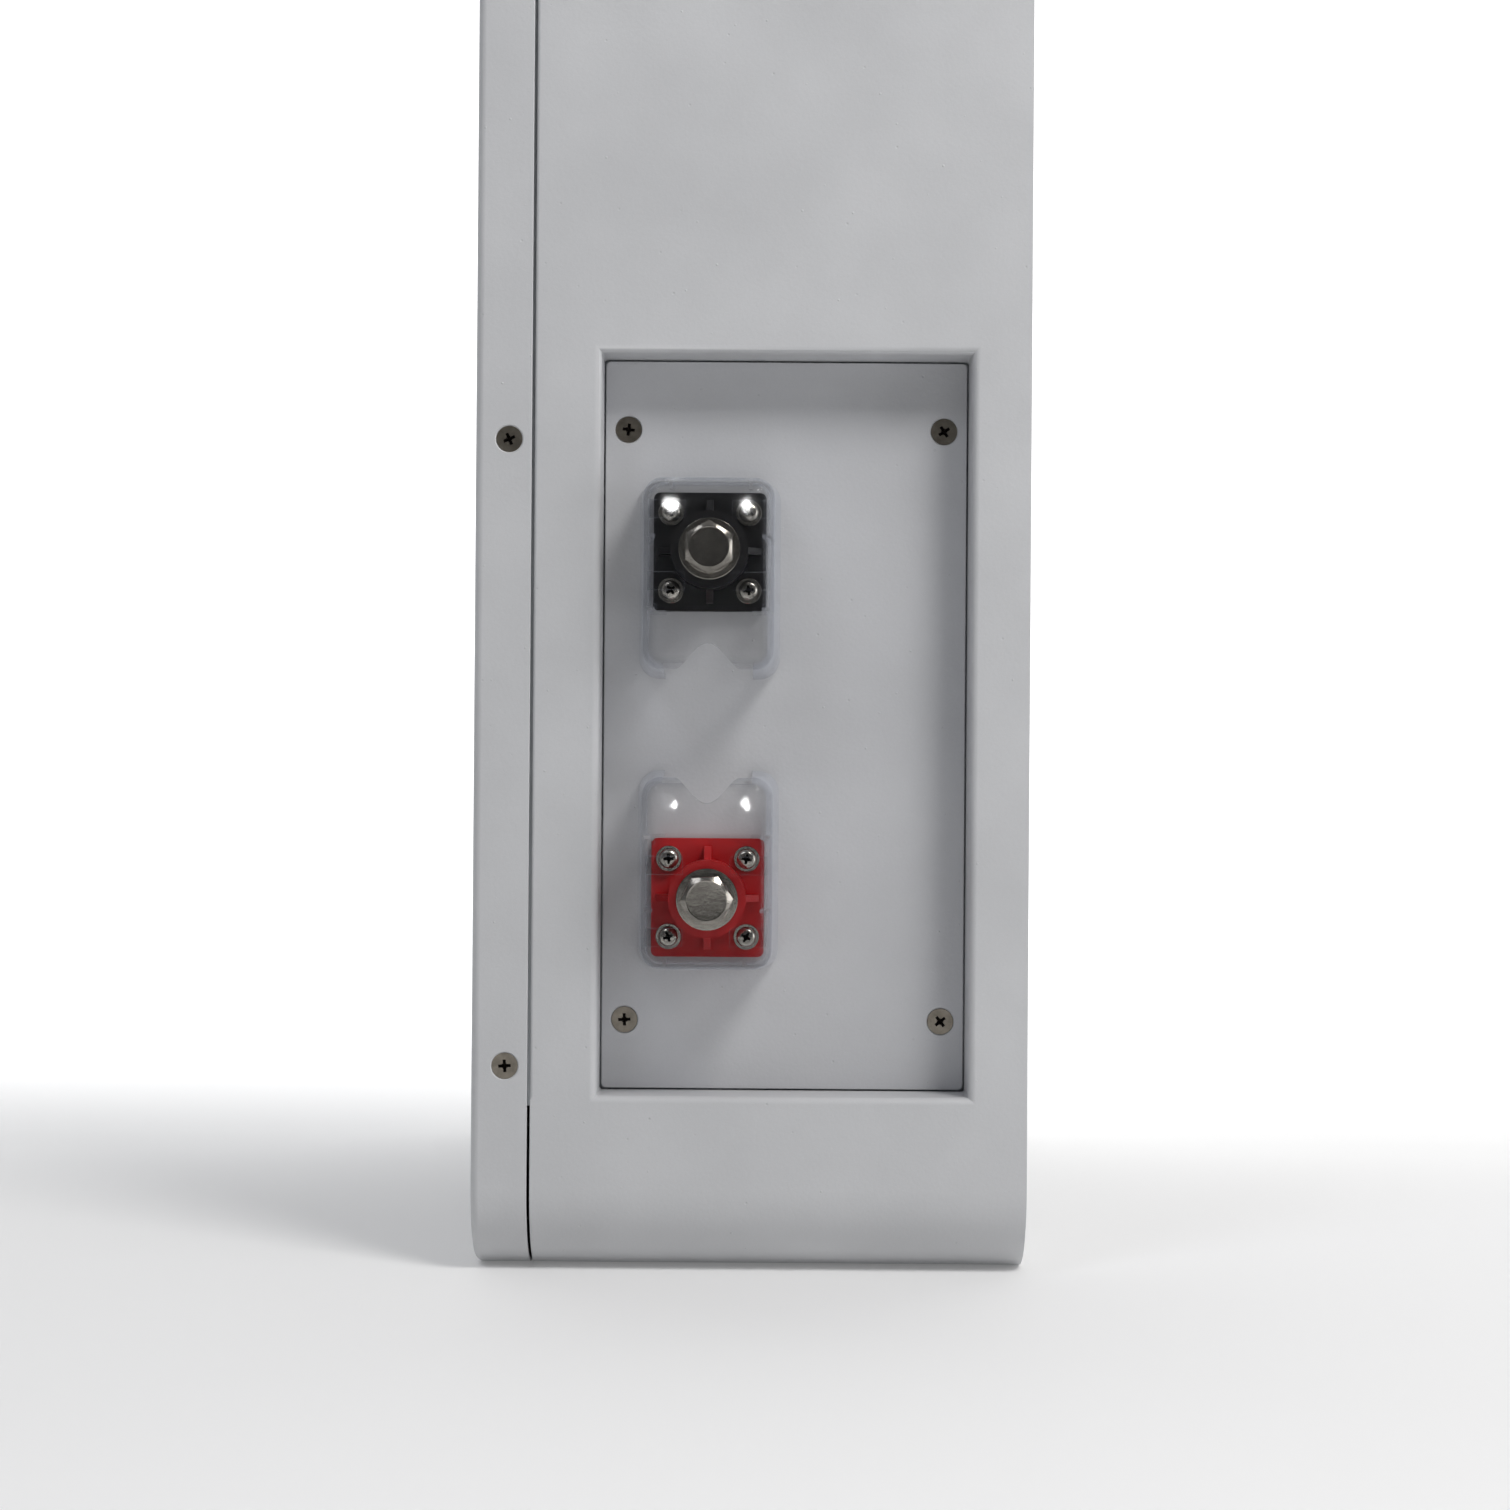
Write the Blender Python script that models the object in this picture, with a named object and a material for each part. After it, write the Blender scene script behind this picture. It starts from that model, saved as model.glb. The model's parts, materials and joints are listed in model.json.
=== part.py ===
"""A wall cabinet for a storage battery, with its two terminals in a recess in one side.

Metres, +Z up. The terminal side faces -Y, the front cover -X and the wall +X. The origin is the
middle of the bounding box in X and Y, at the cabinet's underside.
"""

from math import cos, pi, sin

import bmesh
import bpy
from mathutils import Vector

# Cabinet
CABINET_DEPTH = 0.192
CABINET_WIDTH = 0.420
CABINET_HEIGHT = 0.576
SHEET = 0.0015
CORNER_RADIUS = 0.030
CLEARANCE = 0.0003

# Front cover and its screws
COVER_FLANGE = 0.0195
COVER_EDGE_RADIUS = 0.003
SEAM = 0.001
COVER_SCREW_FROM_FRONT = 0.0117
COVER_SCREW_END = 0.0718
COVER_SCREWS_A_SIDE = 3
STRIP_FRONT_MARGIN = 0.005
STRIP_LAP = 0.014
STRIP_END = 0.058
STRIP_LIP = 0.008
BACK_FLANGE = 0.012

# Recess in the terminal side
RECESS_FRONT_MARGIN = 0.0203
RECESS_REAR_MARGIN = 0.0178
RECESS_BOTTOM = 0.0592
RECESS_HEIGHT = 0.2618
RECESS_DEPTH = 0.020
RECESS_BEND = 0.0026
RECESS_CORNER = 0.0021
RECESS_RIM_CORNER = 0.0009
PLATE_THICKNESS = 0.003
PLATE_GAP = 0.0006
LEDGE = 0.014
LEDGE_LAP = 0.003
LEDGE_CORNER = 0.003
PLATE_SCREW_SIDE_INSET = 0.0080
PLATE_SCREW_END_INSET = 0.0240

# Countersunk screws, M5
CSK_HEAD_RADIUS = 0.0046
CSK_SHANK_RADIUS = 0.0025
CSK_LENGTH = 0.012
CSK_RECESS_REACH = 0.0024
CSK_RECESS_ARM = 0.00065
CSK_RECESS_DEPTH = 0.0019
CSK_HOLE_SPARE = 0.004
CSK_HOLE_MOUTH = 0.001
COVER_SCREW_SINK = 0.0003
RECESS_FLOOR_REACH = 0.5
RECESS_FLOOR_ARM = 0.7

# Terminals
TERMINAL_FROM_PLATE_FRONT = 0.0370
TERMINAL_PITCH = 0.1210
BASE_WIDTH = 0.0395
BASE_LENGTH = 0.0415
BASE_THICKNESS = 0.0045
BASE_CORNER = 0.0022
TOWER_RADIUS = 0.0135
TOWER_HEIGHT = 0.0175
RIB_THICKNESS = 0.0024
RIB_REACH = 0.0045
RIB_HEIGHT = 0.0130
RIB_SHOULDER = 0.0070
SPIGOT_RADIUS = 0.0120
SPIGOT_BEHIND_PLATE = 0.006
INSERT_RADIUS = 0.0090
INSERT_PROUD = 0.0010
STUD_LENGTH = 0.019
BASE_SCREW_PITCH = 0.0272
BASE_SCREW_RADIUS = 0.0018
BASE_SCREW_LENGTH = 0.012
BASE_SCREW_HEAD_RADIUS = 0.0034
BASE_SCREW_HEAD = 0.0026
BASE_SCREW_HEAD_SIDE = 0.55
BASE_SCREW_HEAD_FLAT = 0.68
BASE_SCREW_RECESS_REACH = 0.0021
BASE_SCREW_RECESS_ARM = 0.0006
BASE_SCREW_RECESS_DEPTH = 0.0016
SMALL_WASHER_RADIUS = 0.0045
SMALL_WASHER = 0.0008
SMALL_SPRING_RADIUS = 0.0030
SMALL_SPRING = 0.0010

# Terminal bolts, M10
BOLT_RADIUS = 0.0050
BOLT_LENGTH = 0.018
BOLT_ACROSS_FLATS = 0.0160
BOLT_HEAD = 0.0064
BOLT_CHAMFER_TOP = 0.96
BOLT_CHAMFER_SIDE = 1.3
BOLT_CHAMFER_DROP = 0.2
WASHER_RADIUS = 0.01075
WASHER_THICKNESS = 0.0020
SPRING_WASHER_RADIUS = 0.0086
SPRING_WASHER_THICKNESS = 0.0022
SPRING_WASHER_SPLIT = 0.0022
NUT_ACROSS_FLATS = 0.0160
NUT_THICKNESS = 0.0084
LUG_THICKNESS = 0.0025
LUG_RADIUS = 0.0095
LUG_LENGTH = 0.030
LUG_BARREL_RADIUS = 0.0060
LUG_BARREL_SHRINK = 0.95
LUG_TONGUE = 0.6
LUG_BARREL_START = 0.5
LUG_NECK_TURN = pi / 6

# Terminal covers
COVER_WIDTH = 0.0495
COVER_CLOSED_END = 0.0255
COVER_CABLE_END = 0.0445
COVER_TOP = 0.0380
COVER_DRAFT = 0.0026
COVER_WALL = 0.0018
COVER_CORNER = 0.0075
COVER_TOP_EDGE = 0.0050
CABLE_GATE_WIDTH = 0.0306
CABLE_BAY_WIDTH = 0.0210
CABLE_BAY_DEPTH = 0.0085
CABLE_BAY_SWELL = 0.7
GUIDE_RIB = 0.0012
GUIDE_RIB_REACH = 0.0022
GUIDE_RIB_MIDDLE = 0.0026

# Inside the cabinet
TRAY_LIP = 0.012
WIRING_BAY = 0.066
FAR_BAY = 0.035
FRONT_BAY = 0.025
CELL_THICKNESS = 0.0538
COLUMN_GAP = 0.012
EQUIPMENT_BAY = 0.115
MODULE_EDGE = 0.003
POST_RADIUS = 0.006
POST_LENGTH = 0.004
POST_INSET = 0.022
LINK_WIDTH = 0.020
LINK_THICKNESS = 0.003
SHELF_BACK = 0.030
HEAT_SINK_LENGTH = 0.150
HEAT_SINK_WIDTH = 0.110
HEAT_SINK_BASE = 0.004
HEAT_SINK_HEIGHT = 0.016
HEAT_SINK_FIN = 0.003
HEAT_SINK_FINS = 9
BOARD_THICKNESS = 0.0016
BLOCK_HEIGHT = 0.012
BLOCK_WIDTH = 0.018
RELAY_START = 0.035
RELAY_LENGTH = 0.030
RELAY_WIDTH = 0.032
RELAY_INSET = 0.008
CONNECTOR_START = 0.012
CONNECTOR_WIDTH = 0.008
CONNECTOR_INSET = 0.030
FUSE_BLOCK_LENGTH = 0.090
FUSE_BLOCK_WIDTH = 0.040
FUSE_BODY_LENGTH = 0.030
FUSE_BODY_HEIGHT = 0.014
FUSE_BLADE = 0.002
FUSE_BLADE_REACH = 0.9
FUSE_CABLE_PLACE = 0.8
CABLE_RADIUS = 0.0045
CABLE_DROP = 0.050
CABLE_SPACE = 0.002

# Places worked out from the sizes above
COVER_PROUD = COVER_TOP - RECESS_DEPTH
SIDE_Y = (COVER_PROUD - CABINET_WIDTH) / 2
MID_Y = SIDE_Y + CABINET_WIDTH / 2
FAR_Y = SIDE_Y + CABINET_WIDTH
FRONT_X = -CABINET_DEPTH / 2
REAR_X = CABINET_DEPTH / 2
BODY_FRONT_X = FRONT_X + COVER_FLANGE + SEAM
PLATE_Y = SIDE_Y + RECESS_DEPTH
RECESS_WIDTH = REAR_X - RECESS_REAR_MARGIN - BODY_FRONT_X - RECESS_FRONT_MARGIN
RECESS_MID_X = BODY_FRONT_X + RECESS_FRONT_MARGIN + RECESS_WIDTH / 2
RECESS_MID_Z = RECESS_BOTTOM + RECESS_HEIGHT / 2
WALL_WIDTH = RECESS_WIDTH - 2 * RECESS_BEND
WALL_HEIGHT = RECESS_HEIGHT - 2 * RECESS_BEND
PLATE_WIDTH = WALL_WIDTH - 2 * PLATE_GAP
PLATE_HEIGHT = WALL_HEIGHT - 2 * PLATE_GAP
TERMINAL_X = RECESS_MID_X - PLATE_WIDTH / 2 + TERMINAL_FROM_PLATE_FRONT
INSERT_TOP = TOWER_HEIGHT + INSERT_PROUD
PLATE_BACK = PLATE_THICKNESS + CLEARANCE
INSERT_BOTTOM = -(PLATE_THICKNESS + SPIGOT_BEHIND_PLATE)
WASHER_BOTTOM = INSERT_TOP + CLEARANCE
SPRING_BOTTOM = WASHER_BOTTOM + WASHER_THICKNESS + CLEARANCE
HEAD_BOTTOM = SPRING_BOTTOM + SPRING_WASHER_THICKNESS + CLEARANCE
MODULE_FRONT_X = FRONT_X + SHEET + FRONT_BAY
MODULE_REAR_X = REAR_X - BACK_FLANGE - SHEET - 2 * CLEARANCE
TRAY_TOP = SHEET + CLEARANCE + SHEET
COLUMN_WIDTH = (CABINET_WIDTH - WIRING_BAY - FAR_BAY - COLUMN_GAP) / 2
CELLS_A_MODULE = int((CABINET_HEIGHT - TRAY_TOP - EQUIPMENT_BAY) / (2 * CELL_THICKNESS))
MODULE_HEIGHT = CELLS_A_MODULE * CELL_THICKNESS
NEAR_COLUMN_Y = SIDE_Y + WIRING_BAY + COLUMN_WIDTH / 2
FAR_COLUMN_Y = NEAR_COLUMN_Y + COLUMN_WIDTH + COLUMN_GAP
MODULE_ENDS_Y = (NEAR_COLUMN_Y - COLUMN_WIDTH / 2, FAR_COLUMN_Y + COLUMN_WIDTH / 2)
LOWER_MODULE_Z = TRAY_TOP + CLEARANCE
UPPER_MODULE_Z = LOWER_MODULE_Z + MODULE_HEIGHT + CLEARANCE
SHELF_Z = UPPER_MODULE_Z + MODULE_HEIGHT + CLEARANCE
SHELF_TOP = SHELF_Z + SHEET
POST_FACE_X = MODULE_FRONT_X - POST_LENGTH
LINK_BACK_X = POST_FACE_X - CLEARANCE
BOARD_BOTTOM = SHELF_TOP + CLEARANCE + HEAT_SINK_HEIGHT + CLEARANCE
BOARD_TOP = BOARD_BOTTOM + BOARD_THICKNESS
BLOCK_TOP = BOARD_TOP + BLOCK_HEIGHT

# How screws and terminals are turned, and how finely curves are drawn
FACE_OUT = (pi / 2, 0, 0)
FACE_FAR = (pi / 2, 0, pi)
ROUND = 24
SMALL_ROUND = 16
CABINET_BEND_STEPS = 6
SMOOTH_ANGLE = 0.6
BEND_STEPS = 3
TINY_ROUND = 12
BAY_STEPS = 12
CABLE_STEPS = 4


# ---------------------------------------------------------------- scene, materials and objects


def clear_scene():
    for old in list(bpy.data.objects):
        bpy.data.objects.remove(old, do_unlink=True)


def make_material(name, colour, roughness, metallic=0.0, transmission=0.0):
    made = bpy.data.materials.new(name)
    made.use_nodes = True
    shader = made.node_tree.nodes["Principled BSDF"]
    shader.inputs["Base Color"].default_value = (*colour, 1)
    shader.inputs["Roughness"].default_value = roughness
    shader.inputs["Metallic"].default_value = metallic
    shader.inputs["Transmission Weight"].default_value = transmission
    return made


def make_materials():
    return {
        "powder_coat": make_material("powder_coat", (0.52, 0.53, 0.52), 0.45),
        "black_nylon": make_material("black_nylon", (0.02, 0.02, 0.022), 0.45),
        "red_nylon": make_material("red_nylon", (0.50, 0.02, 0.02), 0.40),
        "clear_polycarbonate": make_material(
            "clear_polycarbonate", (0.9, 0.92, 0.93), 0.05, transmission=0.95
        ),
        "stainless_steel": make_material("stainless_steel", (0.62, 0.60, 0.57), 0.28, 1),
        "nickel_plated_steel": make_material("nickel_plated_steel", (0.50, 0.46, 0.41), 0.35, 1),
        "brass": make_material("brass", (0.70, 0.52, 0.22), 0.35, 1),
        "tinned_copper": make_material("tinned_copper", (0.72, 0.70, 0.67), 0.35, 1),
        "copper": make_material("copper", (0.72, 0.35, 0.20), 0.35, 1),
        "galvanised_steel": make_material("galvanised_steel", (0.56, 0.57, 0.58), 0.45, 1),
        "cell_sleeve": make_material("cell_sleeve", (0.05, 0.16, 0.38), 0.35),
        "aluminium": make_material("aluminium", (0.70, 0.71, 0.72), 0.40, 1),
        "circuit_board": make_material("circuit_board", (0.02, 0.17, 0.07), 0.45),
        "fuse_ceramic": make_material("fuse_ceramic", (0.75, 0.73, 0.68), 0.50),
        "red_cable": make_material("red_cable", (0.45, 0.02, 0.02), 0.45),
        "black_cable": make_material("black_cable", (0.02, 0.02, 0.02), 0.45),
    }


def finish_mesh(name, bm):
    bmesh.ops.recalc_face_normals(bm, faces=bm.faces[:])
    mesh = bpy.data.meshes.new(name)
    bm.to_mesh(mesh)
    bm.free()
    mesh.shade_smooth()
    mesh.set_sharp_from_angle(angle=SMOOTH_ANGLE)
    return mesh


def add_object(name, bm, material, place=(0, 0, 0), turn=(0, 0, 0)):
    made = bpy.data.objects.new(name, finish_mesh(name, bm))
    made.location = place
    made.rotation_euler = turn
    made.data.materials.append(material)
    bpy.context.scene.collection.objects.link(made)
    return made


def add_helper(name, bm, place=(0, 0, 0), turn=(0, 0, 0)):
    """A shape that only takes part in a Boolean."""
    made = bpy.data.objects.new(name, finish_mesh(name, bm))
    made.location = place
    made.rotation_euler = turn
    made.hide_render = True
    made.display_type = "WIRE"
    bpy.context.scene.collection.objects.link(made)
    return made


def combine(target, helper, operation):
    step = target.modifiers.new(operation.lower() + "_" + helper.name, "BOOLEAN")
    step.operation = operation
    step.solver = "EXACT"
    step.object = helper


# ---------------------------------------------------------------- outlines and solids


def rounded_outline(width, height, radius, steps, middle=(0, 0)):
    """Points of a rounded rectangle, anticlockwise from its lower right corner."""
    points = []
    for side_x, side_y, start in ((1, -1, -pi / 2), (1, 1, 0), (-1, 1, pi / 2), (-1, -1, pi)):
        corner_x = middle[0] + side_x * (width / 2 - radius)
        corner_y = middle[1] + side_y * (height / 2 - radius)
        for step in range(steps + 1):
            angle = start + step * pi / 2 / steps
            points.append((corner_x + radius * cos(angle), corner_y + radius * sin(angle)))
    return points


def circle_outline(radius, steps, middle=(0, 0), turned=0.0):
    angles = [turned + 2 * pi * step / steps for step in range(steps)]
    return [(middle[0] + radius * cos(a), middle[1] + radius * sin(a)) for a in angles]


def hexagon(across_flats, turned=pi / 2):
    return circle_outline(across_flats / 2 / cos(pi / 6), 6, turned=turned)


def cross_outline(reach, arm):
    """A twelve-pointed cross, anticlockwise."""
    quarter = [(reach, -arm), (reach, arm), (arm, arm)]
    points = []
    for turn in range(4):
        for x, y in quarter:
            for _ in range(turn):
                x, y = -y, x
            points.append((x, y))
    return points


def raise_outline(outline, height):
    return [(x, y, height) for x, y in outline]


def add_ring(bm, points):
    return [bm.verts.new(point) for point in points]


def join_rings(bm, first, second, skip=()):
    count = len(first)
    for step in range(count):
        if step not in skip:
            after = (step + 1) % count
            bm.faces.new((first[step], first[after], second[after], second[step]))


def add_stack(bm, rings, closed=False):
    """Joins rings of equal length into one solid: capped at both ends, or closed on itself."""
    made = [add_ring(bm, ring) for ring in rings]
    for first, second in zip(made, made[1:]):
        join_rings(bm, first, second)
    if closed:
        join_rings(bm, made[-1], made[0])
    else:
        bm.faces.new(made[0])
        bm.faces.new(made[-1])
    return made


def add_prism(bm, outline, low, high):
    return add_stack(bm, [raise_outline(outline, low), raise_outline(outline, high)])


def add_block(bm, low, high):
    corners = [(low[0], low[1]), (high[0], low[1]), (high[0], high[1]), (low[0], high[1])]
    add_prism(bm, corners, low[2], high[2])


def add_turned(bm, profile, steps, middle=(0, 0), closed=False):
    """Turns (radius, height) points about Z. An open profile starts and ends on the axis."""
    if closed:
        rings = [raise_outline(circle_outline(r, steps, middle), z) for r, z in profile]
        add_stack(bm, rings, closed=True)
        return
    start = bm.verts.new((*middle, profile[0][1]))
    end = bm.verts.new((*middle, profile[-1][1]))
    rings = []
    for radius, height in profile[1:-1]:
        outline = circle_outline(radius, steps, middle)
        rings.append(add_ring(bm, raise_outline(outline, height)))
    for first, second in zip(rings, rings[1:]):
        join_rings(bm, first, second)
    for step in range(steps):
        after = (step + 1) % steps
        bm.faces.new((start, rings[0][after], rings[0][step]))
        bm.faces.new((end, rings[-1][step], rings[-1][after]))


def add_rod(bm, radius, low, high, steps, middle=(0, 0)):
    add_turned(bm, [(0, low), (radius, low), (radius, high), (0, high)], steps, middle)


def fill_around(bm, border, *holes):
    """Fills a flat border ring, leaving open the rings inside it. All their edges exist already."""
    edges = []
    for loop in (border, *holes):
        for start, end in zip(loop, loop[1:] + loop[:1]):
            edges.append(next(e for e in start.link_edges if e.other_vert(start) is end))
    bmesh.ops.triangle_fill(bm, use_beauty=True, edges=edges)


# ---------------------------------------------------------------- cabinet


def cabinet_ring(x, inset):
    """The cabinet's rounded section at depth x, drawn in by inset."""
    width = CABINET_WIDTH - 2 * inset
    height = CABINET_HEIGHT - 2 * inset
    outline = rounded_outline(width, height, CORNER_RADIUS - inset, CABINET_BEND_STEPS)
    return [(x, MID_Y + u, CABINET_HEIGHT / 2 + v) for u, v in outline]


def recess_ring(inset, depth, corner):
    outline = rounded_outline(RECESS_WIDTH - 2 * inset, RECESS_HEIGHT - 2 * inset, corner, BEND_STEPS)
    return [(RECESS_MID_X + u, SIDE_Y + depth, RECESS_MID_Z + v) for u, v in outline]


def recess_skin(bend_radius):
    """Rings down one face of the recess wall, round its bend and then straight in."""
    rings = []
    for step in range(BEND_STEPS + 1):
        angle = step * pi / 2 / BEND_STEPS
        share = sin(angle)
        corner = RECESS_RIM_CORNER + share * (RECESS_CORNER - RECESS_RIM_CORNER)
        rings.append(recess_ring(bend_radius * share, RECESS_BEND - bend_radius * cos(angle), corner))
    rings.append(recess_ring(bend_radius, RECESS_DEPTH + PLATE_THICKNESS, RECESS_CORNER))
    return rings


def close_side(bm, front, rear, flat, rings):
    """Fills one skin of the terminal side round the recess and runs it down the recess wall."""
    border = [front[flat], rear[flat], rear[flat + 1], front[flat + 1]]
    made = [add_ring(bm, ring) for ring in rings]
    for first, second in zip(made, made[1:]):
        join_rings(bm, first, second)
    fill_around(bm, border, made[0])
    return made[-1]


def make_body_shell(mats):
    flat = 3 * (CABINET_BEND_STEPS + 1) - 1
    bm = bmesh.new()
    ends = {}
    for inset in (0, SHEET):
        for x in (BODY_FRONT_X, REAR_X):
            ends[inset, x] = add_ring(bm, cabinet_ring(x, inset))
        join_rings(bm, ends[inset, BODY_FRONT_X], ends[inset, REAR_X], skip=(flat,))
    for x in (BODY_FRONT_X, REAR_X):
        join_rings(bm, ends[0, x], ends[SHEET, x])
    rims = []
    for inset in (0, SHEET):
        skin = recess_skin(RECESS_BEND - inset)
        rims.append(close_side(bm, ends[inset, BODY_FRONT_X], ends[inset, REAR_X], flat, skin))
    join_rings(bm, rims[0], rims[1])
    return add_object("body_shell", bm, mats["powder_coat"])


def make_back_panel(mats):
    """A shallow tray set into the rear of the shell, its flange turned forward."""
    outer = SHEET + CLEARANCE
    inner = outer + SHEET
    bm = bmesh.new()
    rings = [
        cabinet_ring(REAR_X, outer),
        cabinet_ring(REAR_X - BACK_FLANGE, outer),
        cabinet_ring(REAR_X - BACK_FLANGE, inner),
        cabinet_ring(REAR_X - SHEET, inner),
    ]
    add_stack(bm, rings)
    return add_object("back_panel", bm, mats["powder_coat"])


def cover_screw_heights():
    spacing = (CABINET_HEIGHT - 2 * COVER_SCREW_END) / (COVER_SCREWS_A_SIDE - 1)
    return [COVER_SCREW_END + spacing * step for step in range(COVER_SCREWS_A_SIDE)]


def make_front_cover(mats):
    """A pressed tray with a rounded front edge and a flange that meets the body at the seam."""
    flange_x = FRONT_X + COVER_FLANGE
    bend_x = FRONT_X + COVER_EDGE_RADIUS
    angles = [step * pi / 2 / BEND_STEPS for step in range(BEND_STEPS + 1)]
    rings = []
    for reach in (COVER_EDGE_RADIUS - SHEET, COVER_EDGE_RADIUS):
        skin = [cabinet_ring(flange_x, COVER_EDGE_RADIUS - reach)]
        for angle in angles:
            inset = COVER_EDGE_RADIUS - reach * cos(angle)
            skin.append(cabinet_ring(bend_x - reach * sin(angle), inset))
        rings = rings[::-1] + skin
    bm = bmesh.new()
    add_stack(bm, rings)
    cover = add_object("front_cover", bm, mats["powder_coat"])
    cut_cover_screw_holes(cover)
    return cover


def cover_screw_sites():
    """Each cover screw's place on the side faces, as x, z, y and the turn that points it out."""
    x = FRONT_X + COVER_SCREW_FROM_FRONT
    sites = []
    for y, turn in ((SIDE_Y, FACE_OUT), (FAR_Y, FACE_FAR)):
        for z in cover_screw_heights():
            sites.append(((x, y, z), turn))
    return sites


def csk_profile(grow, sink, top, length):
    """A countersunk screw's outline, grown by a clearance for the hole it sits in."""
    shank = CSK_SHANK_RADIUS + grow
    head = CSK_HEAD_RADIUS + grow
    neck = -sink - (CSK_HEAD_RADIUS - CSK_SHANK_RADIUS)
    return [(0, -length), (shank, -length), (shank, neck), (head, -sink), (head, top), (0, top)]


def cut_csk_holes(target, name, sites, sink, length):
    for step, (place, turn) in enumerate(sites):
        bm = bmesh.new()
        add_turned(bm, csk_profile(CLEARANCE, sink, CSK_HOLE_MOUTH, length), SMALL_ROUND)
        combine(target, add_helper(f"{name}_{step}", bm, place, turn), "DIFFERENCE")


def cut_cover_screw_holes(target):
    name = target.name + "_screw_hole"
    length = CSK_LENGTH + CSK_HOLE_SPARE
    cut_csk_holes(target, name, cover_screw_sites(), COVER_SCREW_SINK, length)


def make_screw_strips(mats):
    """An angle welded inside each side of the body, which the cover's screws thread into."""
    near = SHEET + CLEARANCE
    low = STRIP_END
    high = CABINET_HEIGHT - STRIP_END
    front = FRONT_X + STRIP_FRONT_MARGIN
    rear = BODY_FRONT_X + STRIP_LAP
    section = [
        (front, near),
        (rear, near),
        (rear, near + STRIP_LIP),
        (rear - SHEET, near + STRIP_LIP),
        (rear - SHEET, near + SHEET),
        (front, near + SHEET),
    ]
    for name, edge, inward in (("terminal_side", SIDE_Y, 1), ("far_side", FAR_Y, -1)):
        bm = bmesh.new()
        add_prism(bm, [(x, edge + inward * depth) for x, depth in section], low, high)
        strip = add_object(name + "_screw_strip", bm, mats["galvanised_steel"])
        cut_cover_screw_holes(strip)


def add_screw(bm, profile, steps, reach, arm, depth):
    """A turned screw with a cross recess. The profile runs from its tip to the rim of its flat top."""
    tip = bm.verts.new((0, 0, profile[0][1]))
    rings = [add_ring(bm, raise_outline(circle_outline(r, steps), z)) for r, z in profile[1:]]
    for first, second in zip(rings, rings[1:]):
        join_rings(bm, first, second)
    for step in range(steps):
        bm.faces.new((tip, rings[0][(step + 1) % steps], rings[0][step]))
    top = profile[-1][1]
    mouth = add_ring(bm, raise_outline(cross_outline(reach, arm), top))
    foot = cross_outline(reach * RECESS_FLOOR_REACH, arm * RECESS_FLOOR_ARM)
    floor = add_ring(bm, raise_outline(foot, top - depth))
    join_rings(bm, mouth, floor)
    bm.faces.new(floor)
    fill_around(bm, rings[-1], mouth)


def make_csk_screws(prefix, sites, sink, material):
    for step, (place, turn) in enumerate(sites):
        bm = bmesh.new()
        profile = csk_profile(0, sink, -sink, CSK_LENGTH)[:-2]
        add_screw(bm, profile, SMALL_ROUND, CSK_RECESS_REACH, CSK_RECESS_ARM, CSK_RECESS_DEPTH)
        add_object(f"{prefix}_{step + 1}", bm, material, place, turn)


# ---------------------------------------------------------------- recess


def plate_screw_sites():
    reach_x = PLATE_WIDTH / 2 - PLATE_SCREW_SIDE_INSET
    reach_z = PLATE_HEIGHT / 2 - PLATE_SCREW_END_INSET
    sites = []
    for across, up in ((-1, 1), (1, 1), (-1, -1), (1, -1)):
        place = (RECESS_MID_X + across * reach_x, PLATE_Y, RECESS_MID_Z + up * reach_z)
        sites.append((place, FACE_OUT))
    return sites


def terminal_sites():
    """Each terminal's name, its middle on the plate's face, and which way its cable end points."""
    half = TERMINAL_PITCH / 2
    return [
        ("negative", (TERMINAL_X, PLATE_Y, RECESS_MID_Z + half), 0),
        ("positive", (TERMINAL_X, PLATE_Y, RECESS_MID_Z - half), pi),
    ]


def base_screw_corners():
    reach = BASE_SCREW_PITCH / 2
    return [(-reach, reach), (reach, reach), (-reach, -reach), (reach, -reach)]


def make_ledge_frame(mats):
    """The welded frame behind the recess walls that the plate lies on."""
    low = -PLATE_BACK - SHEET
    outer_size = (WALL_WIDTH + 2 * LEDGE_LAP, WALL_HEIGHT + 2 * LEDGE_LAP)
    inner_size = (PLATE_WIDTH - 2 * LEDGE, PLATE_HEIGHT - 2 * LEDGE)
    outer = rounded_outline(*outer_size, LEDGE_CORNER, BEND_STEPS)
    inner = rounded_outline(*inner_size, LEDGE_CORNER, BEND_STEPS)
    rings = []
    for outline, height in ((outer, low), (outer, -PLATE_BACK), (inner, -PLATE_BACK), (inner, low)):
        rings.append(raise_outline(outline, height))
    bm = bmesh.new()
    add_stack(bm, rings, closed=True)
    frame = add_object("recess_ledge_frame", bm, mats["galvanised_steel"], recess_middle(), FACE_OUT)
    length = CSK_LENGTH + CSK_HOLE_SPARE
    cut_csk_holes(frame, "ledge_screw_hole", plate_screw_sites(), 0, length)


def recess_middle():
    return (RECESS_MID_X, PLATE_Y, RECESS_MID_Z)


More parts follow.
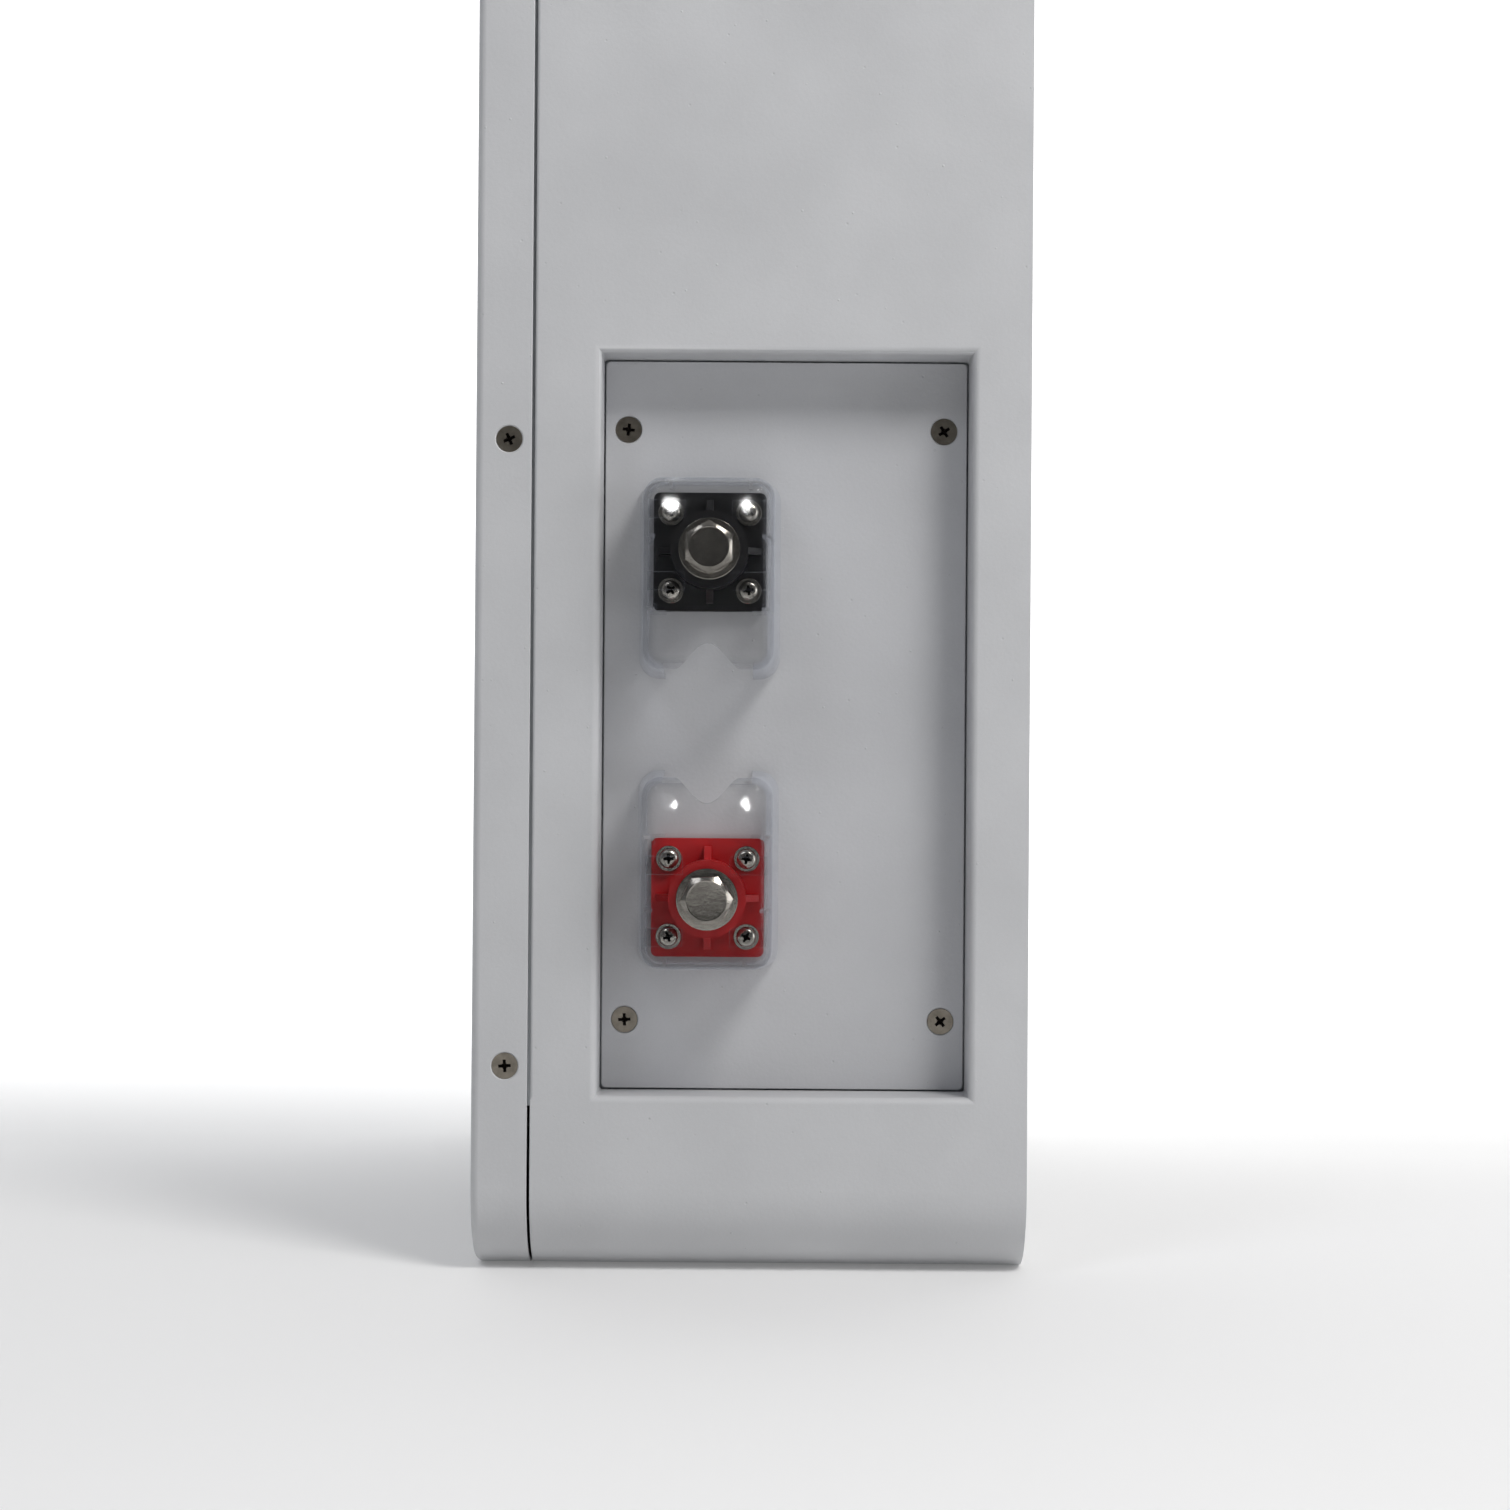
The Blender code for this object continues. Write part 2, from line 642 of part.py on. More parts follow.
def make_terminal_plate(mats):
    outline = rounded_outline(PLATE_WIDTH, PLATE_HEIGHT, RECESS_CORNER - PLATE_GAP / 2, 4)
    bm = bmesh.new()
    add_prism(bm, outline, -PLATE_THICKNESS, 0)
    plate = add_object("terminal_plate", bm, mats["powder_coat"], recess_middle(), FACE_OUT)
    length = CSK_LENGTH + CSK_HOLE_SPARE
    cut_csk_holes(plate, "plate_screw_hole", plate_screw_sites(), 0, length)
    for name, place, _ in terminal_sites():
        bm = bmesh.new()
        below = -2 * PLATE_THICKNESS
        add_rod(bm, SPIGOT_RADIUS + CLEARANCE, below, PLATE_THICKNESS, ROUND)
        for corner in base_screw_corners():
            add_rod(bm, BASE_SCREW_RADIUS + CLEARANCE, below, PLATE_THICKNESS, TINY_ROUND, corner)
        combine(plate, add_helper(name + "_plate_holes", bm, place, FACE_OUT), "DIFFERENCE")


# ---------------------------------------------------------------- terminals


def make_base(name, place, material):
    """A moulded square foot with a ribbed tower, and a spigot that goes through the plate."""
    bm = bmesh.new()
    outline = rounded_outline(BASE_WIDTH, BASE_LENGTH, BASE_CORNER, BEND_STEPS)
    add_prism(bm, outline, CLEARANCE, BASE_THICKNESS)
    base = add_object(name + "_terminal_base", bm, material, place, FACE_OUT)
    root = BASE_THICKNESS / 2
    bm = bmesh.new()
    profile = [
        (0, INSERT_BOTTOM),
        (SPIGOT_RADIUS, INSERT_BOTTOM),
        (SPIGOT_RADIUS, root),
        (TOWER_RADIUS, root),
        (TOWER_RADIUS, TOWER_HEIGHT),
        (0, TOWER_HEIGHT),
    ]
    add_turned(bm, profile, ROUND)
    combine(base, add_helper(name + "_tower", bm, place, FACE_OUT), "UNION")
    bm = bmesh.new()
    foot = cross_outline(TOWER_RADIUS + RIB_REACH, RIB_THICKNESS / 2)
    crown = cross_outline(TOWER_RADIUS - RIB_THICKNESS / 2, RIB_THICKNESS / 2)
    levels = ((foot, root), (foot, RIB_SHOULDER), (crown, RIB_HEIGHT))
    add_stack(bm, [raise_outline(outline, height) for outline, height in levels])
    combine(base, add_helper(name + "_ribs", bm, place, FACE_OUT), "UNION")
    bm = bmesh.new()
    add_rod(bm, INSERT_RADIUS + CLEARANCE, 2 * INSERT_BOTTOM, 2 * TOWER_HEIGHT, ROUND)
    for corner in base_screw_corners():
        hole = BASE_SCREW_RADIUS + CLEARANCE
        add_rod(bm, hole, -BASE_THICKNESS, 2 * BASE_THICKNESS, TINY_ROUND, corner)
    combine(base, add_helper(name + "_base_holes", bm, place, FACE_OUT), "DIFFERENCE")


def make_insert(name, place, mats):
    """A brass sleeve, tapped for the bolt from the front, with a stud for the inner lug behind."""
    bore = BOLT_RADIUS + CLEARANCE
    bore_end = HEAD_BOTTOM - BOLT_LENGTH - INSERT_PROUD
    profile = [
        (0, INSERT_BOTTOM - STUD_LENGTH),
        (BOLT_RADIUS, INSERT_BOTTOM - STUD_LENGTH),
        (BOLT_RADIUS, INSERT_BOTTOM),
        (INSERT_RADIUS, INSERT_BOTTOM),
        (INSERT_RADIUS, INSERT_TOP),
        (bore, INSERT_TOP),
        (bore, bore_end),
        (0, bore_end),
    ]
    bm = bmesh.new()
    add_turned(bm, profile, ROUND)
    add_object(name + "_insert", bm, mats["brass"], place, FACE_OUT)


def make_bolt_and_washers(name, place, mats):
    hole = BOLT_RADIUS + CLEARANCE
    bm = bmesh.new()
    top = WASHER_BOTTOM + WASHER_THICKNESS
    ring = [(hole, WASHER_BOTTOM), (WASHER_RADIUS, WASHER_BOTTOM), (WASHER_RADIUS, top), (hole, top)]
    add_turned(bm, ring, ROUND, closed=True)
    add_object(name + "_flat_washer", bm, mats["stainless_steel"], place, FACE_OUT)
    bm = bmesh.new()
    add_prism(bm, split_ring_outline(hole), SPRING_BOTTOM, SPRING_BOTTOM + SPRING_WASHER_THICKNESS)
    add_object(name + "_spring_washer", bm, mats["stainless_steel"], place, FACE_OUT)
    bm = bmesh.new()
    head_top = HEAD_BOTTOM + BOLT_HEAD
    add_prism(bm, hexagon(BOLT_ACROSS_FLATS), HEAD_BOTTOM, head_top)
    bolt = add_object(name + "_bolt", bm, mats["stainless_steel"], place, FACE_OUT)
    crown = BOLT_ACROSS_FLATS / 2
    bm = bmesh.new()
    beside = crown * BOLT_CHAMFER_SIDE
    chamfer = [
        (0, HEAD_BOTTOM - BOLT_HEAD),
        (beside, HEAD_BOTTOM - BOLT_HEAD),
        (beside, head_top - crown * BOLT_CHAMFER_DROP),
        (crown * BOLT_CHAMFER_TOP, head_top),
        (0, head_top),
    ]
    add_turned(bm, chamfer, ROUND)
    combine(bolt, add_helper(name + "_bolt_chamfer", bm, place, FACE_OUT), "INTERSECT")
    bm = bmesh.new()
    add_rod(bm, BOLT_RADIUS, HEAD_BOTTOM - BOLT_LENGTH, HEAD_BOTTOM + BOLT_HEAD / 2, ROUND)
    combine(bolt, add_helper(name + "_bolt_shank", bm, place, FACE_OUT), "UNION")


def split_ring_outline(hole):
    """A ring with a narrow split, as one closed outline."""
    half = SPRING_WASHER_SPLIT / 2 / SPRING_WASHER_RADIUS
    angles = [half + (2 * pi - 2 * half) * step / ROUND for step in range(ROUND + 1)]
    outer = [(SPRING_WASHER_RADIUS * cos(a), SPRING_WASHER_RADIUS * sin(a)) for a in angles]
    inner = [(hole * cos(a), hole * sin(a)) for a in reversed(angles)]
    return outer + inner


def make_base_screws(name, place, mats):
    """Pan-head screws with a captive spring washer and flat washer, made as one solid each."""
    foot = BASE_THICKNESS + CLEARANCE
    flat_top = foot + SMALL_WASHER
    spring_top = flat_top + SMALL_SPRING
    head_top = spring_top + BASE_SCREW_HEAD
    profile = [
        (0, foot - BASE_SCREW_LENGTH),
        (BASE_SCREW_RADIUS, foot - BASE_SCREW_LENGTH),
        (BASE_SCREW_RADIUS, foot),
        (SMALL_WASHER_RADIUS, foot),
        (SMALL_WASHER_RADIUS, flat_top),
        (SMALL_SPRING_RADIUS, flat_top),
        (SMALL_SPRING_RADIUS, spring_top),
        (BASE_SCREW_HEAD_RADIUS, spring_top),
        (BASE_SCREW_HEAD_RADIUS, spring_top + BASE_SCREW_HEAD * BASE_SCREW_HEAD_SIDE),
        (BASE_SCREW_HEAD_RADIUS * BASE_SCREW_HEAD_FLAT, head_top),
    ]
    recess = (BASE_SCREW_RECESS_REACH, BASE_SCREW_RECESS_ARM, BASE_SCREW_RECESS_DEPTH)
    for step, (x, z) in enumerate(base_screw_corners()):
        bm = bmesh.new()
        add_screw(bm, profile, SMALL_ROUND, *recess)
        site = (place[0] + x, place[1], place[2] + z)
        add_object(f"{name}_base_screw_{step + 1}", bm, mats["stainless_steel"], site, FACE_OUT)


def make_lug_and_nut(name, place, mats):
    """The inner cable's lug on the insert's stud, and the nut that holds it."""
    hole = BOLT_RADIUS + CLEARANCE
    top = INSERT_BOTTOM - CLEARANCE
    low = top - LUG_THICKNESS
    sweep = pi + 2 * LUG_NECK_TURN
    angles = [LUG_NECK_TURN - step * sweep / SMALL_ROUND for step in range(SMALL_ROUND + 1)]
    eye = [(LUG_RADIUS * cos(a), LUG_RADIUS * sin(a)) for a in angles]
    tongue_end = LUG_LENGTH * LUG_TONGUE
    tongue = [(-LUG_BARREL_RADIUS, tongue_end), (LUG_BARREL_RADIUS, tongue_end)]
    bm = bmesh.new()
    add_prism(bm, eye + tongue, low, top)
    lug = add_object(name + "_inner_lug", bm, mats["tinned_copper"], place, FACE_OUT)
    bm = bmesh.new()
    middle = (low + top) / 2
    barrel = circle_outline(LUG_BARREL_RADIUS * LUG_BARREL_SHRINK, SMALL_ROUND)
    ends = (LUG_LENGTH * LUG_BARREL_START, LUG_LENGTH)
    add_stack(bm, [[(x, y, middle + z) for x, z in barrel] for y in ends])
    combine(lug, add_helper(name + "_lug_barrel", bm, place, FACE_OUT), "UNION")
    bm = bmesh.new()
    add_rod(bm, hole, low * 2, 0, SMALL_ROUND)
    combine(lug, add_helper(name + "_lug_hole", bm, place, FACE_OUT), "DIFFERENCE")
    nut_top = low - CLEARANCE
    nut_low = nut_top - NUT_THICKNESS
    bm = bmesh.new()
    nut_outline = resample_hexagon(NUT_ACROSS_FLATS, ROUND)
    bore = circle_outline(hole, ROUND)
    rings = [(nut_outline, nut_low), (nut_outline, nut_top), (bore, nut_top), (bore, nut_low)]
    add_stack(bm, [raise_outline(outline, z) for outline, z in rings], closed=True)
    add_object(name + "_inner_nut", bm, mats["stainless_steel"], place, FACE_OUT)


def resample_hexagon(across_flats, steps):
    """A hexagon with points at even angles, so that it joins a circle of as many points."""
    points = []
    for step in range(steps):
        angle = 2 * pi * step / steps
        off_flat = (angle + pi / 6) % (pi / 3) - pi / 6
        reach = across_flats / 2 / cos(off_flat)
        points.append((reach * cos(angle), reach * sin(angle)))
    return points


# ---------------------------------------------------------------- terminal covers


def cover_outline(height, inset):
    """The cover's outline at a height over the plate, with its walls' draft. Closed end at +Y."""
    draft = COVER_DRAFT * height / COVER_TOP + inset
    length = COVER_CLOSED_END + COVER_CABLE_END - 2 * draft
    middle = (0, (COVER_CLOSED_END - COVER_CABLE_END) / 2)
    return rounded_outline(COVER_WIDTH - 2 * draft, length, COVER_CORNER - inset, 5, middle)


def cover_skin(inset, radius):
    rings = [raise_outline(cover_outline(CLEARANCE, inset), CLEARANCE)]
    bend = COVER_TOP - inset - radius
    for step in range(BEND_STEPS + 1):
        angle = step * pi / 2 / BEND_STEPS
        height = bend + radius * sin(angle)
        outline = cover_outline(bend, inset + radius * (1 - cos(angle)))
        rings.append(raise_outline(outline, height))
    return rings


def cable_bay_outline():
    """The bell-shaped bay in the front face over the cable."""
    edge = -(COVER_CABLE_END - COVER_DRAFT)
    half = CABLE_BAY_WIDTH / 2
    points = [(-half, 2 * edge), (half, 2 * edge)]
    for step in range(BAY_STEPS + 1):
        x = half - CABLE_BAY_WIDTH * step / BAY_STEPS
        share = max(0, 0.5 + 0.5 * cos(pi * x / half))
        points.append((x, edge + CABLE_BAY_DEPTH * share**CABLE_BAY_SWELL))
    return points


def guide_rib_rings(low_outline, high_outline):
    low = BASE_THICKNESS / 2
    high = COVER_TOP - COVER_WALL / 2
    return [raise_outline(low_outline, low), raise_outline(high_outline, high)]


def add_guide_ribs(bm):
    """Thin ribs down the inside of the cover's walls, which slope in with them."""
    lean = COVER_DRAFT
    wall = COVER_WIDTH / 2 - COVER_WALL / 2
    inner = COVER_WIDTH / 2 - COVER_WALL - GUIDE_RIB_REACH
    for y in (GUIDE_RIB_MIDDLE, -(BASE_LENGTH / 2 + CLEARANCE + GUIDE_RIB)):
        for side in (-1, 1):
            outlines = []
            for shift in (0, lean):
                x_wall = side * (wall - shift)
                x_inner = side * (inner - shift)
                top = y + GUIDE_RIB
                outlines.append([(x_inner, y), (x_wall, y), (x_wall, top), (x_inner, top)])
            add_stack(bm, guide_rib_rings(*outlines))
    for side in (-1, 1):
        x = side * BASE_SCREW_PITCH / 2
        outlines = []
        for shift in (0, lean):
            y_wall = COVER_CLOSED_END - COVER_WALL / 2 - shift
            y_inner = y_wall - COVER_WALL / 2 - GUIDE_RIB_REACH
            beside = x + GUIDE_RIB
            outlines.append([(x, y_inner), (beside, y_inner), (beside, y_wall), (x, y_wall)])
        add_stack(bm, guide_rib_rings(*outlines))


def make_terminal_cover(name, place, spin, mats):
    """A clear clip-on cover, open towards the plate and at its cable end."""
    turn = (pi / 2, spin, 0)
    bm = bmesh.new()
    outside = cover_skin(0, COVER_TOP_EDGE)
    inside = cover_skin(COVER_WALL, COVER_TOP_EDGE - COVER_WALL)
    add_stack(bm, inside[::-1] + outside)
    cover = add_object(name + "_terminal_cover", bm, mats["clear_polycarbonate"], place, turn)
    bm = bmesh.new()
    add_guide_ribs(bm)
    combine(cover, add_helper(name + "_guide_ribs", bm, place, turn), "UNION")
    half = CABLE_GATE_WIDTH / 2
    outer_end = -2 * COVER_CABLE_END
    inner_end = -(COVER_CABLE_END - COVER_DRAFT - COVER_WALL - COVER_TOP_EDGE)
    bm = bmesh.new()
    add_block(bm, (-half, outer_end, -CLEARANCE), (half, inner_end, COVER_TOP - COVER_WALL))
    combine(cover, add_helper(name + "_cable_gate", bm, place, turn), "DIFFERENCE")
    bm = bmesh.new()
    add_prism(bm, cable_bay_outline(), COVER_TOP / 2, 2 * COVER_TOP)
    combine(cover, add_helper(name + "_cable_bay", bm, place, turn), "DIFFERENCE")


def make_terminals(mats):
    colours = {"negative": mats["black_nylon"], "positive": mats["red_nylon"]}
    for name, place, spin in terminal_sites():
        make_base(name, place, colours[name])
        make_insert(name, place, mats)
        make_bolt_and_washers(name, place, mats)
        make_base_screws(name, place, mats)
        make_lug_and_nut(name, place, mats)
        make_terminal_cover(name, place, spin, mats)


# ---------------------------------------------------------------- inside the cabinet


def add_section_along_y(bm, section, low_y, high_y):
    """A section drawn in X and Z, run along Y."""
    add_stack(bm, [[(x, y, z) for x, z in section] for y in (low_y, high_y)])


def make_module_tray(mats):
    """A U-shaped tray on the cabinet's floor that the lower cell modules stand in."""
    front = MODULE_FRONT_X - CLEARANCE
    rear = MODULE_REAR_X + CLEARANCE
    low = SHEET + CLEARANCE
    lip = low + TRAY_LIP
    section = [
        (front - SHEET, low),
        (rear + SHEET, low),
        (rear + SHEET, lip),
        (rear, lip),
        (rear, TRAY_TOP),
        (front, TRAY_TOP),
        (front, lip),
        (front - SHEET, lip),
    ]
    bm = bmesh.new()
    add_section_along_y(bm, section, *MODULE_ENDS_Y)
    add_object("module_tray", bm, mats["galvanised_steel"])


def make_cell_module(name, middle_y, bottom, mats):
    """A sleeve of flat cells, with a post near the top and the bottom of its front face."""
    middle = (middle_y, bottom + MODULE_HEIGHT / 2)
    outline = rounded_outline(COLUMN_WIDTH, MODULE_HEIGHT, MODULE_EDGE, 2, middle)
    bm = bmesh.new()
    rear = add_ring(bm, [(MODULE_REAR_X, y, z) for y, z in outline])
    front = add_ring(bm, [(MODULE_FRONT_X, y, z) for y, z in outline])
    join_rings(bm, rear, front)
    bm.faces.new(rear)
    mouths = []
    for z in (bottom + POST_INSET, bottom + MODULE_HEIGHT - POST_INSET):
        circle = circle_outline(POST_RADIUS, SMALL_ROUND, (middle_y, z))
        mouth = add_ring(bm, [(MODULE_FRONT_X, y, z) for y, z in circle])
        face = add_ring(bm, [(POST_FACE_X, y, z) for y, z in circle])
        join_rings(bm, mouth, face)
        bm.faces.new(face)
        mouths.append(mouth)
    fill_around(bm, front, *mouths)
    add_object(name, bm, mats["cell_sleeve"])


def make_cell_modules(mats):
    for column, y in (("near", NEAR_COLUMN_Y), ("far", FAR_COLUMN_Y)):
        make_cell_module(f"{column}_lower_cell_module", y, LOWER_MODULE_Z, mats)
        make_cell_module(f"{column}_upper_cell_module", y, UPPER_MODULE_Z, mats)


def make_bar(name, low, high, mats):
    """A flat copper bar in front of the posts, given by its lowest and highest Y and Z."""
    bm = bmesh.new()
    add_block(bm, (LINK_BACK_X - LINK_THICKNESS, *low), (LINK_BACK_X, *high))
    add_object(name, bm, mats["copper"])


def make_bars(mats):
    half = LINK_WIDTH / 2
    lower_post = LOWER_MODULE_Z + POST_INSET
    lower_top_post = LOWER_MODULE_Z + MODULE_HEIGHT - POST_INSET
    upper_post = UPPER_MODULE_Z + POST_INSET
    upper_top_post = UPPER_MODULE_Z + MODULE_HEIGHT - POST_INSET
    for name, y in (("near", NEAR_COLUMN_Y), ("far", FAR_COLUMN_Y)):
        low, high = (y - half, lower_top_post - half), (y + half, upper_post + half)
        make_bar(f"{name}_module_link", low, high, mats)
    low, high = (NEAR_COLUMN_Y - half, lower_post - half), (FAR_COLUMN_Y + half, lower_post + half)
    make_bar("lower_module_link", low, high, mats)
    for name, y in (("negative", NEAR_COLUMN_Y), ("positive", FAR_COLUMN_Y)):
        low, high = (y - half, upper_top_post - half), (y + half, BLOCK_TOP)
        make_bar(f"{name}_end_bar", low, high, mats)


def make_shelf(mats):
    """A sheet shelf on the upper modules, its rear edge turned up against the back panel."""
    rear = REAR_X - SHEET - CLEARANCE
    top = SHELF_Z + SHELF_BACK
    section = [
        (MODULE_FRONT_X, SHELF_Z),
        (rear, SHELF_Z),
        (rear, top),
        (rear - SHEET, top),
        (rear - SHEET, SHELF_TOP),
        (MODULE_FRONT_X, SHELF_TOP),
    ]
    bm = bmesh.new()
    add_section_along_y(bm, section, *MODULE_ENDS_Y)
    add_object("equipment_shelf", bm, mats["galvanised_steel"])


def make_heat_sink(mats):
    """An extruded heat sink that stands on its fins."""
    low = SHELF_TOP + CLEARANCE
    top = low + HEAT_SINK_HEIGHT
    root = top - HEAT_SINK_BASE
    half = HEAT_SINK_WIDTH / 2
    pitch = (HEAT_SINK_WIDTH - HEAT_SINK_FIN) / (HEAT_SINK_FINS - 1)
    section = [(half, top), (-half, top)]
    for fin in range(HEAT_SINK_FINS):
        start = -half + fin * pitch
        foot = [(start, low), (start + HEAT_SINK_FIN, low)]
        if fin > 0:
            foot.insert(0, (start, root))
        if fin < HEAT_SINK_FINS - 1:
            foot.append((start + HEAT_SINK_FIN, root))
        section += foot
    bm = bmesh.new()
    ends = (MODULE_FRONT_X, MODULE_FRONT_X + HEAT_SINK_LENGTH)
    add_stack(bm, [[(x, NEAR_COLUMN_Y + y, z) for y, z in section] for x in ends])
    add_object("bms_heat_sink", bm, mats["aluminium"])


def make_board(mats):
    """The battery management board, with its two power blocks and its larger components."""
    near = NEAR_COLUMN_Y - HEAT_SINK_WIDTH / 2
    far = NEAR_COLUMN_Y + HEAT_SINK_WIDTH / 2
    rear = MODULE_FRONT_X + HEAT_SINK_LENGTH
    bm = bmesh.new()
    add_block(bm, (POST_FACE_X, near, BOARD_BOTTOM), (rear, far, BOARD_TOP))
    board = add_object("bms_board", bm, mats["circuit_board"])
    sunk = BOARD_TOP - BOARD_THICKNESS / 2
    relay_x = POST_FACE_X + RELAY_START
    relay_y = far - RELAY_INSET - RELAY_WIDTH
    plug_x = rear - CONNECTOR_START
    plug_y = near + CONNECTOR_INSET
    plug_width = HEAT_SINK_WIDTH - 2 * CONNECTOR_INSET
    blocks = (
        (POST_FACE_X, NEAR_COLUMN_Y - BLOCK_WIDTH, BLOCK_WIDTH, 2 * BLOCK_WIDTH),
        (TERMINAL_X - BLOCK_WIDTH / 2, near, BLOCK_WIDTH, BLOCK_WIDTH),
        (relay_x, relay_y, RELAY_LENGTH, RELAY_WIDTH),
        (plug_x, plug_y, CONNECTOR_WIDTH, plug_width),
    )
    bm = bmesh.new()
    for x, y, length, width in blocks:
        add_block(bm, (x, y, sunk), (x + length, y + width, BLOCK_TOP))
    combine(board, add_helper("board_blocks", bm), "UNION")


def make_fuse(mats):
    """The main fuse in the positive line: a moulded block, and the bladed fuse lying along it."""
    low = SHELF_TOP + CLEARANCE
    top = BLOCK_TOP
    near = FAR_COLUMN_Y - FUSE_BLOCK_WIDTH / 2
    far = FAR_COLUMN_Y + FUSE_BLOCK_WIDTH / 2
    front = POST_FACE_X
    rear = front + FUSE_BLOCK_LENGTH
    groove = top - FUSE_BODY_HEIGHT / 2
    middle = (front + rear) / 2
    half_gap = FUSE_BODY_LENGTH / 2 + CLEARANCE
    section = [
        (front, low),
        (rear, low),
        (rear, top),
        (middle + half_gap, top),
        (middle + half_gap, groove - CLEARANCE),
        (middle - half_gap, groove - CLEARANCE),
        (middle - half_gap, top),
        (front, top),
    ]
    bm = bmesh.new()
    add_section_along_y(bm, section, near, far)
    add_object("fuse_holder", bm, mats["black_nylon"])
    blade_low = top + CLEARANCE
    blade_high = blade_low + FUSE_BLADE
    crown = groove + FUSE_BODY_HEIGHT
    start = middle - FUSE_BODY_LENGTH / 2
    end = middle + FUSE_BODY_LENGTH / 2
    reach = FUSE_BODY_LENGTH * FUSE_BLADE_REACH
    section = [
        (start, groove),
        (end, groove),
        (end, blade_low),
        (middle + reach, blade_low),
        (middle + reach, blade_high),
        (end, blade_high),
        (end, crown),
        (start, crown),
        (start, blade_high),
        (middle - reach, blade_high),
        (middle - reach, blade_low),
        (start, blade_low),
    ]
    bm = bmesh.new()
    half = FUSE_BODY_HEIGHT / 2
    add_section_along_y(bm, section, FAR_COLUMN_Y - half, FAR_COLUMN_Y + half)
    add_object("main_fuse", bm, mats["fuse_ceramic"])


def smooth_route(points):
    """Points along a smooth curve through the given ones."""
    ends = [points[0] * 2 - points[1]] + points + [points[-1] * 2 - points[-2]]
    route = []
    for before, start, end, after in zip(ends, ends[1:], ends[2:], ends[3:]):
        for step in range(CABLE_STEPS):
            t = step / CABLE_STEPS
            pull = (before * -1 + start * 3 - end * 3 + after) * t * t * t
            bend = (before * 2 - start * 5 + end * 4 - after) * t * t
            route.append((start * 2 + (end - before) * t + bend + pull) / 2)
    return route + [points[-1]]


def make_cable(name, points, material):
    route = smooth_route([Vector(point) for point in points])
    curve = bpy.data.curves.new(name, "CURVE")
    curve.dimensions = "3D"
    curve.bevel_depth = CABLE_RADIUS
    curve.bevel_resolution = 2
    curve.use_fill_caps = True
    spline = curve.splines.new("POLY")
    spline.points.add(len(route) - 1)
    for point, place in zip(spline.points, route):
        point.co = (*place, 1)
    made = bpy.data.objects.new(name, curve)
    curve.materials.append(material)
    bpy.context.scene.collection.objects.link(made)


def make_cables(mats):
    """The two heavy cables in the wiring bay, from the board and the fuse down to the inner lugs."""
    lug_y = PLATE_Y - INSERT_BOTTOM + CLEARANCE + LUG_THICKNESS / 2
    sites = {name: place for name, place, _ in terminal_sites()}
    negative_lug = sites["negative"][2] + LUG_LENGTH + CLEARANCE
    positive_lug = sites["positive"][2] + LUG_LENGTH + CLEARANCE
    past_base = sites["negative"][2] - BASE_LENGTH / 2
    level = BOARD_TOP + CABLE_RADIUS + CLEARANCE
    board_edge = NEAR_COLUMN_Y - HEAT_SINK_WIDTH / 2 - CLEARANCE
    drop = SHELF_Z - CABLE_DROP
    negative = [
        (TERMINAL_X, board_edge, level),
        (TERMINAL_X, board_edge - CABLE_RADIUS, level),
        (TERMINAL_X, board_edge - CABLE_DROP / 2, level),
        (TERMINAL_X, lug_y + CABLE_RADIUS, level - CABLE_DROP / 2),
        (TERMINAL_X, lug_y, drop),
        (TERMINAL_X, lug_y, (drop + negative_lug) / 2),
        (TERMINAL_X, lug_y, negative_lug + CABLE_DROP / 2),
        (TERMINAL_X, lug_y, negative_lug + CABLE_RADIUS),
        (TERMINAL_X, lug_y, negative_lug),
    ]
    make_cable("negative_cable", negative, mats["black_cable"])
    fuse_x = POST_FACE_X + FUSE_BLOCK_LENGTH * FUSE_CABLE_PLACE
    fuse_side = FAR_COLUMN_Y - FUSE_BLOCK_WIDTH / 2 - CLEARANCE
    over = BLOCK_TOP + CABLE_DROP / 2
    beside = TERMINAL_X + LUG_RADIUS + 2 * CABLE_RADIUS + CABLE_SPACE
    positive = [
        (fuse_x, fuse_side, level),
        (fuse_x, fuse_side - CABLE_RADIUS, level),
        (fuse_x, fuse_side - CABLE_DROP / 2, level),
        (fuse_x, (fuse_side + NEAR_COLUMN_Y) / 2, over),
        (beside, NEAR_COLUMN_Y, over + CABLE_RADIUS),
        (beside, board_edge, over),
        (beside, lug_y + CABLE_RADIUS, level - CABLE_DROP / 2),
        (beside, lug_y, drop),
        (beside, lug_y, negative_lug),
        (beside, lug_y, past_base),
        (TERMINAL_X + LUG_RADIUS, lug_y, (past_base + positive_lug + CABLE_DROP / 2) / 2),
        (TERMINAL_X, lug_y, positive_lug + CABLE_DROP / 2),
        (TERMINAL_X, lug_y, positive_lug + CABLE_RADIUS),
        (TERMINAL_X, lug_y, positive_lug),
    ]
    make_cable("positive_cable", positive, mats["red_cable"])


def build():
    clear_scene()
    mats = make_materials()
    make_body_shell(mats)
    make_back_panel(mats)
    make_front_cover(mats)
    make_screw_strips(mats)
    make_csk_screws("cover_screw", cover_screw_sites(), COVER_SCREW_SINK, mats["nickel_plated_steel"])
    make_ledge_frame(mats)
    make_terminal_plate(mats)
    make_csk_screws("plate_screw", plate_screw_sites(), 0, mats["nickel_plated_steel"])
    make_terminals(mats)
    make_module_tray(mats)
    make_cell_modules(mats)
    make_bars(mats)
    make_shelf(mats)
    make_heat_sink(mats)
    make_board(mats)
    make_fuse(mats)
    make_cables(mats)


build()
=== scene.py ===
import json
from math import cos, pi, radians, sin, tan

